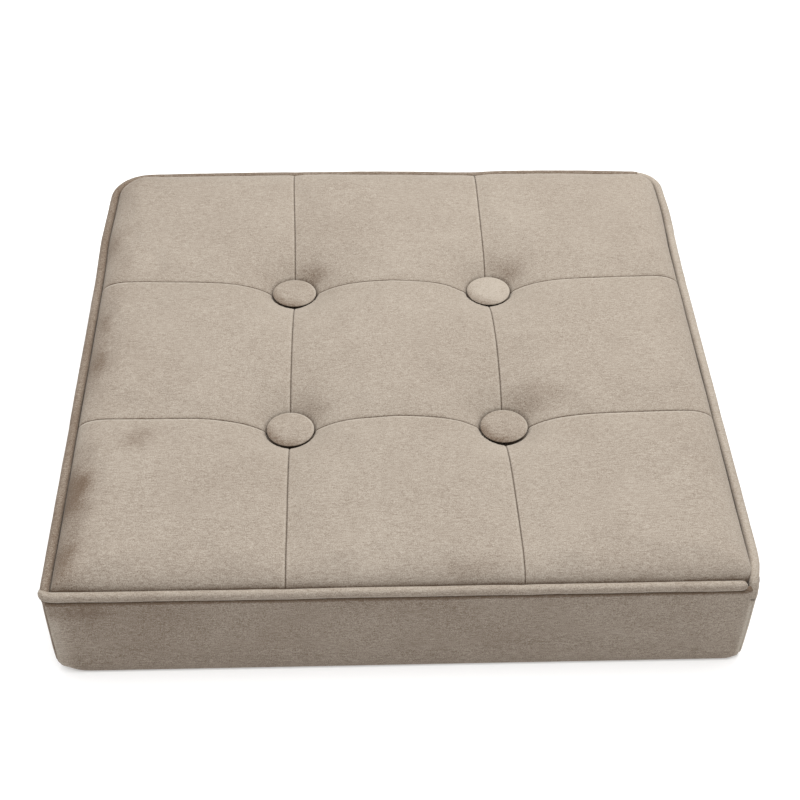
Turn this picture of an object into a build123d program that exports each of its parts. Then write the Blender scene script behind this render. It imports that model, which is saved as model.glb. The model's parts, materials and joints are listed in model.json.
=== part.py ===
from build123d import *
from math import asin, ceil, cos, exp, hypot, sin, sqrt
import os

# Square upholstered chair seat pad: nine velvet top panels sewn into a grid and pulled down by
# four covered buttons, over wadding, foam and a plywood base board.
# Frame: +X to the right, +Y to the back, +Z up. The origin is under the middle of the pad, on
# the plane that it stands on. All sizes are in millimetres.

os.makedirs("parts", exist_ok=True)

# ---- driving sizes ---------------------------------------------------------------------------
pad_width = 400.0  # left to right, over the piping
pad_depth = 400.0  # front to back, over the piping
piping_height = 65.5  # standing plane to the middle of the piping
corner_radius = 18.0  # plan corners, over the piping
crown_rise = 11.0  # panel middles above the middle of the piping
edge_roll = 24.0  # how far in from the piping the top reaches its full height
edge_fullness = 2.4  # how square the rolled edge of the top is
least_corner_radius = 2.0  # of any outline inside the pad

velvet = 1.6  # velvet with its pile and backing
wadding_top = 6.0
wadding_side = 3.0
board_thickness = 12.0
dust_cover_thickness = 0.4
dust_cover_inset = 15.0

piping_diameter = 6.0
piping_cord_diameter = 4.0
flange_height = 9.0  # seam allowance of the piping, behind the boxing
flange_thickness = 0.9
boxing_setback = 1.0  # the boxing's outer face, in from the outer side of the piping
turn_under = 35.0  # velvet wrapped under the board, in from the boxing's face

button_diameter = 30.0
button_spacing_x = 131.0
button_spacing_y = 131.0
button_depth = 18.2  # velvet under a button, below the full height of the top
button_crown = 2.8  # rise of a button's top from its rim
button_under = 2.8  # height of a button's rim above its back
button_cloth = 1.0
button_shell_wall = 0.5
button_skirt = 1.0  # shell below its rim
button_plate_diameter = 18.0
button_plate_thickness = 0.8
dimple_flat = 0.38 * button_diameter  # radius that a button presses nearly flat
dimple_blend = button_diameter * 2 / 15
dimple_reach = button_diameter * 8 / 15  # how slowly the velvet rises away from a button
surface_step = 7.0  # spacing of the points that the top's surface is fitted to
surface_fit = 0.03
pit_floor = button_diameter * 19 / 60  # flat bottom of the pit in the stuffing under a button
pit_steps = (button_diameter * 2 / 3, button_diameter * 17 / 15)
pit_reach = 2 * button_diameter

loop_radius = 3.0  # wire loop on a button's back, to the middle of the wire
loop_wire = 1.2
loop_leg = 1.6  # how far the loop's ends stand into the button
twine_diameter = 1.0
twine_bend = 2.0
twine_tail = 26.0  # length of each end that lies stapled under the board
twine_staple_places = (8.0, 19.0)  # along a tail, from its bend

staple_crown = 9.0
staple_leg = 8.0
staple_thick = 0.5
staple_wide = 0.8
staple_pitch = 48.0
boxing_staple_row = 29.0  # in from the pad's outline
dust_cover_staple_row = 20.0

nut_spacing_x = 0.7 * pad_width  # keeps the nuts clear of the staples of the turned-under velvet
nut_spacing_y = 0.7 * pad_depth
nut_bore = 5.0  # an M6 thread at its smallest
nut_barrel = 7.8
nut_flange = 19.0
nut_flange_thickness = 1.4
nut_prong_length = 5.0
nut_prong_wide = 3.0
nut_prong_thick = 0.8
nut_prong_setback = 0.4  # prongs in from the edge of the flange

# ---- clearances ------------------------------------------------------------------------------
seam_clearance = 0.05  # panel edge to piping
layer_clearance = 0.9  # velvet to the wadding under it
wall_clearance = 0.2  # piping flange to the velvet and wadding beside it
button_clearance = 1.6  # button's back to the velvet at the middle of its dimple
loop_clearance = 0.6  # wire loop to the slit that it hangs in
strand_clearance = 0.05  # twine to the wire that it goes round
twine_clearance = 0.6  # twine to the holes that it runs through
bolt_way_clearance = 2.0  # bolts to the dust cover
nut_clearance = 0.2  # nut flanges to the foam over them
cut_spare = 1.0  # how far a cutting block stands past what it cuts
mitre_spare = 9.0  # how far the mitre blocks stand past the pad's outline

# ---- worked out ------------------------------------------------------------------------------
half_width = pad_width / 2
half_depth = pad_depth / 2
piping_radius = piping_diameter / 2
cord_radius = piping_cord_diameter / 2
board_bottom = dust_cover_thickness + velvet
board_top = board_bottom + board_thickness
boxing_inside = boxing_setback + velvet
wadding_inset = boxing_inside + flange_thickness + 2 * wall_clearance
board_inset = wadding_inset + wadding_side
panel_inset = piping_diameter + seam_clearance
panel_edge_height = piping_height + velvet / 2
crown_height = piping_height + crown_rise
well_above = 2 * crown_height
strand_out = (loop_wire + twine_diameter) / 2 + strand_clearance
slit_radius = loop_radius + loop_wire / 2 + loop_clearance
twine_hole = strand_out + twine_diameter / 2 + twine_clearance
board_twine_hole = twine_hole + twine_bend
tail_height = board_bottom - twine_diameter / 2 - strand_clearance

button_places = {
    "front_left": (-button_spacing_x / 2, -button_spacing_y / 2),
    "front_right": (button_spacing_x / 2, -button_spacing_y / 2),
    "back_left": (-button_spacing_x / 2, button_spacing_y / 2),
    "back_right": (button_spacing_x / 2, button_spacing_y / 2),
}
nut_places = {
    "front_left": (-nut_spacing_x / 2, -nut_spacing_y / 2),
    "front_right": (nut_spacing_x / 2, -nut_spacing_y / 2),
    "back_left": (-nut_spacing_x / 2, nut_spacing_y / 2),
    "back_right": (nut_spacing_x / 2, nut_spacing_y / 2),
}
side_turns = {"front": 0, "right": 90, "back": 180, "left": 270}


def save(node, shape):
    """Write one node's solid, or group of solids, to its STEP file."""
    shape.label = node
    export_step(shape, f"parts/{node}.step")


def pin(place, radius, low, high):
    """A round upright block between two heights, to cut a hole or to make a disc."""
    return Pos(place[0], place[1], (low + high) / 2) * Cylinder(radius, high - low)


# ---- the shape of the top --------------------------------------------------------------------
def edge_share(distance):
    """How much of its full height the top has, this far in from the panels' outer edge."""
    return 1 - (1 - max(min(distance / edge_roll, 1), 0)) ** edge_fullness


def dimple_share(distance):
    """How much of a button's pull is felt this far from its middle."""
    past = distance - dimple_flat
    return exp(-(past + sqrt(past * past + dimple_blend**2)) / 2 / dimple_reach)


def top_height(x, y):
    """Height of the velvet's face over a point of the plan."""
    share = edge_share(half_width - panel_inset - abs(x)) * edge_share(half_depth - panel_inset - abs(y))
    pull = max(dimple_share(hypot(x - bx, y - by)) for bx, by in button_places.values())
    return panel_edge_height + share * (crown_height - panel_edge_height - button_depth * pull)


def spread(low, high, step):
    """Evenly spaced values from low to high, no further apart than step."""
    count = ceil((high - low) / step)
    return [low + (high - low) * i / count for i in range(count + 1)]


def top_surface(x_span, y_span):
    """The top's shape over a rectangle of the plan."""
    columns = spread(*x_span, surface_step)
    rows = spread(*y_span, surface_step)
    points = [[(x, y, top_height(x, y)) for y in rows] for x in columns]
    return Face.make_surface_from_array_of_points(points, tol=surface_fit)


def outline(inset):
    """The pad's plan outline, moved in."""
    radius = max(corner_radius - inset, least_corner_radius)
    return RectangleRounded(pad_width - 2 * inset, pad_depth - 2 * inset, radius)


def prism(inset, low, high):
    """The pad's plan outline, moved in, as a block between two heights."""
    return extrude(Pos(0, 0, low) * outline(inset), high - low)


def pull_height(distance):
    """Height of the velvet's face this far from a button, away from the pad's edges."""
    return crown_height - button_depth * dimple_share(distance)


def under_top(below, inset, low):
    """A plain block under the top: sloping edges, a flat middle and a round pit at each button.

    It stays below the velvet by the given distance: its slopes and pits are straight where the
    velvet's face is arched.
    """
    shoulder_inset = max(inset, panel_inset)
    shoulder = panel_edge_height - below
    full = pull_height(pit_reach) - below
    under_piping = min(piping_height - piping_radius - wall_clearance, shoulder)
    block = prism(inset, low, under_piping)
    if shoulder > under_piping:
        block = block + prism(shoulder_inset, under_piping, shoulder)
    foot = Pos(0, 0, shoulder) * outline(shoulder_inset)
    head = Pos(0, 0, full) * outline(shoulder_inset + edge_roll)
    block = block + loft([foot, head], ruled=True)
    floor = pull_height(0) - below
    slope = [(reach, 0, pull_height(reach) - below) for reach in pit_steps]
    profile = [(0, 0, floor), (pit_floor, 0, floor), *slope, (pit_reach, 0, full)]
    profile = [*profile, (pit_reach, 0, well_above), (0, 0, well_above)]
    pit = revolve(make_face(Polyline(*profile, close=True)), Axis.Z)
    return block - [Pos(x, y, 0) * pit for x, y in button_places.values()]


# ---- staples ---------------------------------------------------------------------------------
def staple(x, y, turn, low):
    """A wire staple driven upwards, its crown's lower face at a height."""
    crown = Box(staple_crown, staple_wide, staple_thick)
    leg = Box(staple_thick, staple_wide, staple_leg)
    legs = [
        Pos(side * (staple_crown - staple_thick) / 2, 0, (staple_leg - staple_thick) / 2) * leg
        for side in (-1, 1)
    ]
    return Pos(x, y, low + staple_thick / 2) * Rot(0, 0, turn) * (crown + legs)


def staple_row(inset, low):
    """Staples along all four sides of the underside, evenly spaced, their crowns along the side."""
    placed = []
    for turn in side_turns.values():
        a, b = (half_width, half_depth) if turn in (0, 180) else (half_depth, half_width)
        reach = a - inset - staple_crown
        stops = spread(-reach, reach, staple_pitch)
        gap = stops[1] - stops[0]
        for stop in stops[:-1]:
            placed.append(Rot(0, 0, turn) * staple(stop + gap / 2, inset - b, 0, low))
    return placed


def twine_staples():
    """Two staples across each of the eight ends of twine under the board."""
    low = tail_height - twine_diameter / 2 - staple_thick
    placed = []
    for bx, by in button_places.values():
        for side in (-1, 1):
            for place in twine_staple_places:
                placed.append(staple(bx, by + side * (strand_out + twine_bend + place), 0, low))
    return placed


# ---- velvet ----------------------------------------------------------------------------------
def corner_waste(side_x, side_y):
    """The corner that the panels' rounded outline leaves out."""
    radius = max(corner_radius - panel_inset, least_corner_radius)
    middle = (side_x * (half_width - panel_inset - radius), side_y * (half_depth - panel_inset - radius))
    size = radius + cut_spare
    square = Box(size, size, well_above)
    place = Pos(middle[0] + side_x * size / 2, middle[1] + side_y * size / 2, well_above / 2)
    return place * square - pin(middle, radius, -cut_spare, well_above + cut_spare)


def top_panels():
    """Nine panels that meet on the four seam lines through the buttons."""
    edge_x = half_width - panel_inset
    edge_y = half_depth - panel_inset
    columns = {
        "left": (-edge_x, -button_spacing_x / 2),
        "centre": (-button_spacing_x / 2, button_spacing_x / 2),
        "right": (button_spacing_x / 2, edge_x),
    }
    rows = {
        "front": (-edge_y, -button_spacing_y / 2),
        "middle": (-button_spacing_y / 2, button_spacing_y / 2),
        "back": (button_spacing_y / 2, edge_y),
    }
    slits = [pin(place, slit_radius, 0, well_above) for place in button_places.values()]
    for row, y_span in rows.items():
        for column, x_span in columns.items():
            panel = Solid.extrude(top_surface(x_span, y_span), Vector(0, 0, -velvet))
            if row != "middle" and column != "centre":
                panel = panel - corner_waste(-1 if column == "left" else 1, -1 if row == "front" else 1)
            save(f"top_panel_{row}_{column}", panel - slits)


def side_sector(turn, reach):
    """A block over one side's share of the plan, mitred at 45 degrees at its corners."""
    a, b = (half_width, half_depth) if turn in (0, 180) else (half_depth, half_width)
    far_x, far_y = a + mitre_spare, b + mitre_spare
    corners = [(-far_x, -far_y), (far_x, -far_y), (a - reach, reach - b), (reach - a, reach - b)]
    return Rot(0, 0, turn) * extrude(make_face(Polyline(*corners, close=True)), crown_height)


def boxings(staples):
    """Four strips, each an upright wall and the margin that is wrapped under the board."""
    low = dust_cover_thickness
    wall = prism(boxing_setback, low, piping_height - piping_radius) - prism(boxing_inside, 0, well_above)
    margin_inset = boxing_setback + turn_under
    margin = prism(boxing_setback, low, board_bottom) - prism(margin_inset, 0, well_above)
    for side, turn in side_turns.items():
        strip = (wall + margin) & side_sector(turn, margin_inset + cut_spare)
        save(f"boxing_{side}", strip - staples)


def along_side(section, turn):
    """Carry a section along one side of the pad and half-way round its two corners.

    The section's x is the distance in from the pad's outline, and its y is the height.
    """
    a, b = (half_width, half_depth) if turn in (0, 180) else (half_depth, half_width)
    run = a - corner_radius
    start = Plane(origin=(-run, -b, 0), x_dir=(0, 1, 0), z_dir=(1, 0, 0)) * section
    left_corner = Axis((-run, corner_radius - b, 0), (0, 0, -1))
    right_corner = Axis((run, corner_radius - b, 0), (0, 0, 1))
    straight = extrude(start, 2 * run, dir=(1, 0, 0))
    left = revolve(start, left_corner, 45)
    right = revolve(Pos(2 * run, 0, 0) * start, right_corner, 45)
    return Rot(0, 0, turn) * (straight + left + right)


def pipings():
    """Four lengths of piping: a velvet sleeve with a flange behind the boxing, and its cord."""
    middle = Pos(piping_radius, piping_height)
    flange_low = piping_height - piping_radius - flange_height
    flange = Pos(
        boxing_inside + wall_clearance + flange_thickness / 2, (flange_low + piping_height) / 2
    ) * Rectangle(flange_thickness, piping_height - flange_low)
    sleeve = middle * Circle(piping_radius) + flange - middle * Circle(cord_radius)
    for side, turn in side_turns.items():
        save(f"piping_cover_{side}", along_side(sleeve, turn))
        save(f"piping_cord_{side}", along_side(middle * Circle(cord_radius), turn))


# ---- covered buttons and their twine ---------------------------------------------------------
def button_body(radius, back_radius, back, rim, top):
    """A domed disc: a cone from its back to its rim, and a low dome from its rim to its top."""
    side = Polyline((0, 0, back), (back_radius, 0, back), (radius, 0, rim))
    rise = top - rim
    ball = (radius * radius + rise * rise) / (2 * rise)
    half_angle = asin(radius / ball) / 2
    between = (ball * sin(half_angle), 0, top - ball + ball * cos(half_angle))
    crown = ThreePointArc((radius, 0, rim), between, (0, 0, top))
    return revolve(make_face([side, crown, Line((0, 0, top), (0, 0, back))]), Axis.Z)


def button(name, place):
    """One covered button: cloth, shell, back plate and wire loop. Returns its back's height."""
    back = top_height(*place) + button_clearance
    rim = back + button_under
    top = rim + button_crown
    radius = button_diameter / 2
    plate_radius = button_plate_diameter / 2
    cloth = button_cloth
    wall = cloth + button_shell_wall
    outer = button_body(radius, plate_radius + cloth, back, rim, top)
    inner = button_body(radius - cloth, plate_radius + cloth, back + cloth, rim, top - cloth)
    core = button_body(radius - wall, plate_radius + cloth, back + cloth, rim, top - wall)
    below_skirt = pin((0, 0), radius, back - cut_spare, rim - button_skirt)
    spot = Pos(place[0], place[1], 0)

    bend = Torus(loop_radius, loop_wire / 2)
    loop = (Pos(0, 0, back) * Rot(90, 0, 0) * bend) & pin((0, 0), radius, back - 3 * loop_radius, back)
    leg_top = back + button_plate_thickness + loop_leg
    loop = loop + [pin((side * loop_radius, 0), loop_wire / 2, back, leg_top) for side in (-1, 1)]
    plate = pin((0, 0), plate_radius, back, back + button_plate_thickness)

    plate_room = pin((0, 0), plate_radius, back - cut_spare, rim)
    save(f"button_cover_{name}", spot * (outer - inner - plate_room))
    save(f"button_shell_{name}", spot * (inner - core - below_skirt))
    save(f"button_back_{name}", spot * (plate - loop))
    save(f"button_loop_{name}", spot * loop)
    return back


def twine(name, place, back):
    """Twine doubled through a button's loop, down through the pad, and out under the board."""
    turn = back - loop_radius
    out = strand_out
    foot = tail_height + twine_bend
    corner = out + twine_bend
    route = [
        Line((-corner - twine_tail, tail_height), (-corner, tail_height)),
        CenterArc((-corner, foot), twine_bend, -90, 90),
        Line((-out, foot), (-out, turn)),
        CenterArc((0, turn), out, 180, -180),
        Line((out, turn), (out, foot)),
        CenterArc((corner, foot), twine_bend, 180, 90),
        Line((corner, tail_height), (corner + twine_tail, tail_height)),
    ]
    upright = Plane(origin=(place[0], place[1], 0), x_dir=(0, 1, 0), z_dir=(1, 0, 0))
    path = Wire([upright * edge for edge in route])
    start = Plane(origin=path.position_at(0), z_dir=path.tangent_at(0))
    strand = sweep(start * Circle(twine_diameter / 2), path=path)
    print(f"twine_{name}: {path.length:.1f} mm long")
    save(f"button_twine_{name}", strand)


# ---- inside and underside --------------------------------------------------------------------
def threaded_nut(place):
    """A pronged M6 nut pressed into the board from above, its barrel down to the underside."""
    flange_top = board_top + nut_flange_thickness
    nut = pin(place, nut_flange / 2, board_top, flange_top) + pin(
        place, nut_barrel / 2, board_bottom, board_top
    )
    prong = Box(nut_prong_thick, nut_prong_wide, nut_prong_length)
    out = (nut_flange - nut_prong_thick) / 2 - nut_prong_setback
    for turn in (45, 135, 225, 315):
        nut = nut + Pos(*place, board_top - nut_prong_length / 2) * Rot(0, 0, turn) * Pos(out, 0, 0) * prong
    return nut - pin(place, nut_bore / 2, 0, well_above)


def main():
    """Make every piece and write it."""
    boxing_rows = staple_row(boxing_staple_row, dust_cover_thickness)
    dust_rows = staple_row(dust_cover_staple_row, 0)
    twine_rows = twine_staples()
    nuts = {name: threaded_nut(place) for name, place in nut_places.items()}

    top_panels()
    boxings(boxing_rows + dust_rows)
    pipings()
    for name, place in button_places.items():
        twine(name, place, button(name, place))

    wrapped = under_top(velvet + layer_clearance, wadding_inset, board_bottom)
    filling = under_top(velvet + layer_clearance + wadding_top, board_inset, board_bottom)
    slits = [pin(place, slit_radius, 0, well_above) for place in button_places.values()]
    save("wadding", wrapped - filling - slits)

    foam = filling & prism(board_inset, board_top, well_above)
    foam = foam - [pin(place, twine_hole, 0, well_above) for place in button_places.values()]
    nut_room = nut_flange / 2 + nut_clearance
    nut_room_top = board_top + nut_flange_thickness + nut_clearance
    save("foam_core", foam - [pin(place, nut_room, 0, nut_room_top) for place in nut_places.values()])

    board = prism(board_inset, board_bottom, board_top)
    board = board - [pin(place, board_twine_hole, 0, well_above) for place in button_places.values()]
    board = board - [pin(place, nut_barrel / 2, 0, well_above) for place in nut_places.values()]
    save("base_board", board - list(nuts.values()) - boxing_rows - dust_rows - twine_rows)
    for name, nut in nuts.items():
        save(f"t_nut_{name}", nut)

    cover = prism(dust_cover_inset, 0, dust_cover_thickness)
    way = nut_bore / 2 + bolt_way_clearance
    ways = [pin(place, way, -cut_spare, board_bottom) for place in nut_places.values()]
    save("dust_cover", cover - ways - dust_rows)
    save("boxing_staples", Compound(boxing_rows))
    save("dust_cover_staples", Compound(dust_rows))
    save("twine_staples", Compound(twine_rows))


main()
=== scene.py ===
"""A tufted velvet chair seat pad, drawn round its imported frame.

The visible velvet is built here: nine top panels, four boxing strips, the piping and four
covered buttons, with the wadding and foam under them and the dust cover below. Sizes are in
millimetres in the classes, and become metres where a mesh is made.
"""
import json
import logging
import math
from collections.abc import Sequence
from dataclasses import dataclass, field
from enum import Enum

import bmesh
import bpy
import numpy as np
from mathutils import Matrix, Vector


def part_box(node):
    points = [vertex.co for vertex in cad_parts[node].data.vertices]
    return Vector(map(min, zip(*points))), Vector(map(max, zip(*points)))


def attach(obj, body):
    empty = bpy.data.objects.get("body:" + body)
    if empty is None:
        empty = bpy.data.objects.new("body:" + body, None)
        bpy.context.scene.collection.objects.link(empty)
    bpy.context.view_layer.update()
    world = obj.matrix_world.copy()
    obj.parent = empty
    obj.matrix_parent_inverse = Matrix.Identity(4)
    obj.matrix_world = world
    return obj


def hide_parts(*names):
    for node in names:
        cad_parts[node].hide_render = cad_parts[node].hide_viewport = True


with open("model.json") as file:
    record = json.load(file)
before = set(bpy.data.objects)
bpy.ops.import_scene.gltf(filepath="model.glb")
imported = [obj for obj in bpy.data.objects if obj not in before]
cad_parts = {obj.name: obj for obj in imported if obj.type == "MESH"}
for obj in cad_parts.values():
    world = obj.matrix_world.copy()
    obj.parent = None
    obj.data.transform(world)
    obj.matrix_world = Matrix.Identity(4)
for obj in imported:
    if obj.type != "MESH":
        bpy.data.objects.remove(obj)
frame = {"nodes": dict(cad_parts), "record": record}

MM = 0.001
ROOT_BODY = "root"
LOG = logging.getLogger("seat_pad")
SHADER_INPUTS = {
    "sheen_weight": "Sheen Weight",
    "sheen_roughness": "Sheen Roughness",
    "specular": "Specular IOR Level",
    "metallic": "Metallic",
    "glow": "Emission Strength",
}


class Named(Enum):
    """A named place on the pad."""

    @property
    def word(self) -> str:
        """The place's name as the nodes spell it."""
        return self.name.lower()


class Side(Named):
    """The four sides of the pad, with the turn that brings the front to each."""

    FRONT = 0
    RIGHT = 90
    BACK = 180
    LEFT = 270

    def turned(self, x: np.ndarray, y: np.ndarray) -> tuple[np.ndarray, np.ndarray]:
        """Turn places from the front to this side.

        Args:
            x: Places along X, as if the side were the front.
            y: Places along Y.

        Returns:
            The turned places.
        """
        turn = math.radians(self.value)
        c, d = round(math.cos(turn)), round(math.sin(turn))
        return c * x - d * y, d * x + c * y


class Corner(Named):
    """The four corners of the pad, as signs along X and Y."""

    FRONT_LEFT = (-1, -1)
    FRONT_RIGHT = (1, -1)
    BACK_LEFT = (-1, 1)
    BACK_RIGHT = (1, 1)


class Row(Enum):
    """Rows of top panels, front to back."""

    FRONT = 0
    MIDDLE = 1
    BACK = 2


class Column(Enum):
    """Columns of top panels, left to right."""

    LEFT = 0
    CENTRE = 1
    RIGHT = 2


class Rim(Enum):
    """What a panel's edge meets: another panel at a seam, or the piping."""

    SEAM = "seam"
    PIPING = "piping"


# ---- small tools -----------------------------------------------------------------------------
def by_corner(*values: object) -> dict[Corner, object]:
    """A dataclass field with a value for each corner, in the order of Corner."""
    return field(default_factory=lambda: dict(zip(Corner, values)))


def report(piece: bpy.types.Object) -> None:
    """Log a finished piece."""
    LOG.info("%s: %d faces", piece.name, len(piece.data.polygons))


def soft_noise(x: np.ndarray, y: np.ndarray, cell: float, seed: int) -> np.ndarray:
    """A smooth random field over the plan.

    Args:
        x: Places along X, in millimetres.
        y: Places along Y, of the same shape.
        cell: Size of the field's features, in millimetres.
        seed: Fixes the field.

    Returns:
        Values from -1 to 1, of the shape of x.
    """
    size = 64
    lattice = np.random.default_rng(seed).uniform(-1, 1, (size, size))
    u, v = np.asarray(x) / cell + 31.7, np.asarray(y) / cell + 17.3
    i, j = np.floor(u).astype(int), np.floor(v).astype(int)
    f, g = u - i, v - j
    f, g = f * f * f * (f * (f * 6 - 15) + 10), g * g * g * (g * (g * 6 - 15) + 10)
    i, j, k, m = i % size, j % size, (i + 1) % size, (j + 1) % size
    near = lattice[i, j] * (1 - f) + lattice[k, j] * f
    far = lattice[i, m] * (1 - f) + lattice[k, m] * f
    return near * (1 - g) + far * g


def smooth_step(value: np.ndarray, low: float, high: float) -> np.ndarray:
    """Rise smoothly from 0 at low to 1 at high."""
    t = np.clip((np.asarray(value, float) - low) / (high - low), 0, 1)
    return t * t * (3 - 2 * t)


def grid_faces(rows: int, columns: int, closed: bool = False) -> list[tuple[int, int, int, int]]:
    """Quads over a grid of points stored row by row.

    Args:
        rows: Number of rows of points.
        columns: Number of points in a row.
        closed: Whether the last column joins the first.

    Returns:
        The quads, turned so that they face up when rows run along Y and columns along X.
    """
    faces = []
    last = columns if closed else columns - 1
    for r in range(rows - 1):
        for c in range(last):
            d = (c + 1) % columns
            faces.append((r * columns + c, r * columns + d, (r + 1) * columns + d, (r + 1) * columns + c))
    return faces


def mesh_piece(name: str, points: np.ndarray, faces: Sequence[Sequence[int]]) -> bpy.types.Object:
    """Make a smooth-shaded object at the origin.

    Args:
        name: The piece's name.
        points: Places in millimetres, one row each.
        faces: Corner indices of each face.

    Returns:
        The object, linked to the scene.
    """
    mesh = bpy.data.meshes.new(name)
    mesh.from_pydata((np.asarray(points).reshape(-1, 3) * MM).tolist(), [], [list(f) for f in faces])
    mesh.update()
    mesh.polygons.foreach_set("use_smooth", [True] * len(mesh.polygons))
    piece = bpy.data.objects.new(name, mesh)
    bpy.context.scene.collection.objects.link(piece)
    return piece


def weld(piece: bpy.types.Object, reach: float = 0.01) -> None:
    """Merge points closer than reach millimetres, and drop what collapses.

    Args:
        piece: The mesh object to clean.
        reach: The merging distance.
    """
    work = bmesh.new()
    work.from_mesh(piece.data)
    bmesh.ops.remove_doubles(work, verts=work.verts, dist=reach * MM)
    bmesh.ops.dissolve_degenerate(work, edges=work.edges, dist=reach * MM * 0.1)
    work.to_mesh(piece.data)
    work.free()


def point_values(piece: bpy.types.Object, name: str, values: np.ndarray) -> None:
    """Store one number at each point of a mesh."""
    layer = piece.data.attributes.new(name, "FLOAT", "POINT")
    layer.data.foreach_set("value", np.clip(np.asarray(values, np.float32), 0, 1).ravel())


def apply_modifiers(piece: bpy.types.Object) -> None:
    """Turn an object's modifiers into plain mesh.

    Args:
        piece: The object.
    """
    graph = bpy.context.evaluated_depsgraph_get()
    seen = piece.evaluated_get(graph)
    mesh = bpy.data.meshes.new_from_object(seen, preserve_all_data_layers=True, depsgraph=graph)
    piece.modifiers.clear()
    old, piece.data = piece.data, mesh
    bpy.data.meshes.remove(old)
    mesh.name = piece.name


def thicken(piece: bpy.types.Object, thickness: float) -> None:
    """Give a sheet its thickness on the inner side.

    Args:
        piece: The sheet.
        thickness: Its thickness, in millimetres.
    """
    wall = piece.modifiers.new("thickness", "SOLIDIFY")
    wall.thickness = thickness * MM
    wall.offset = -1
    wall.use_even_offset = False
    apply_modifiers(piece)


def box_of(node: str) -> tuple[np.ndarray, np.ndarray]:
    """Lowest and highest corner of a frame node, in millimetres."""
    low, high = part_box(node)
    return np.array(low) / MM, np.array(high) / MM


def tube(
    name: str, path: np.ndarray, radii: np.ndarray, sides: int = 20, squash: np.ndarray | None = None
) -> bpy.types.Object:
    """A round closed tube along a path that never runs straight up.

    Args:
        name: The piece's name.
        path: Points of its middle line, in millimetres.
        radii: Its radius at each point.
        sides: Number of faces round it.
        squash: Its height as a share of its width at each point.

    Returns:
        The tube, closed by a cap at each end.
    """
    ahead = np.gradient(path, axis=0)
    ahead /= np.linalg.norm(ahead, axis=1, keepdims=True)
    across = np.cross(ahead, (0, 0, 1))
    across /= np.linalg.norm(across, axis=1, keepdims=True)
    over = np.cross(across, ahead)
    turn = np.linspace(0, 2 * np.pi, sides, endpoint=False)
    squash = np.ones(len(path)) if squash is None else squash
    wide = np.cos(turn)[None, :, None] * across[:, None, :]
    high = np.sin(turn)[None, :, None] * over[:, None, :] * squash[:, None, None]
    rings = path[:, None, :] + radii[:, None, None] * (wide + high)
    count = len(path)
    points = np.vstack([rings.reshape(-1, 3), path[:1], path[-1:]])
    faces = grid_faces(count, sides, closed=True)
    start, end = count * sides, count * sides + 1
    last = (count - 1) * sides
    for s in range(sides):
        t = (s + 1) % sides
        faces.append((start, t, s))
        faces.append((end, last + s, last + t))
    piece = mesh_piece(name, points, faces)
    face_outwards(piece)
    return piece


def face_outwards(piece: bpy.types.Object) -> None:
    """Turn the faces of a closed mesh outwards.

    Args:
        piece: The closed mesh.
    """
    work = bmesh.new()
    work.from_mesh(piece.data)
    bmesh.ops.recalc_face_normals(work, faces=work.faces)
    work.to_mesh(piece.data)
    work.free()


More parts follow.
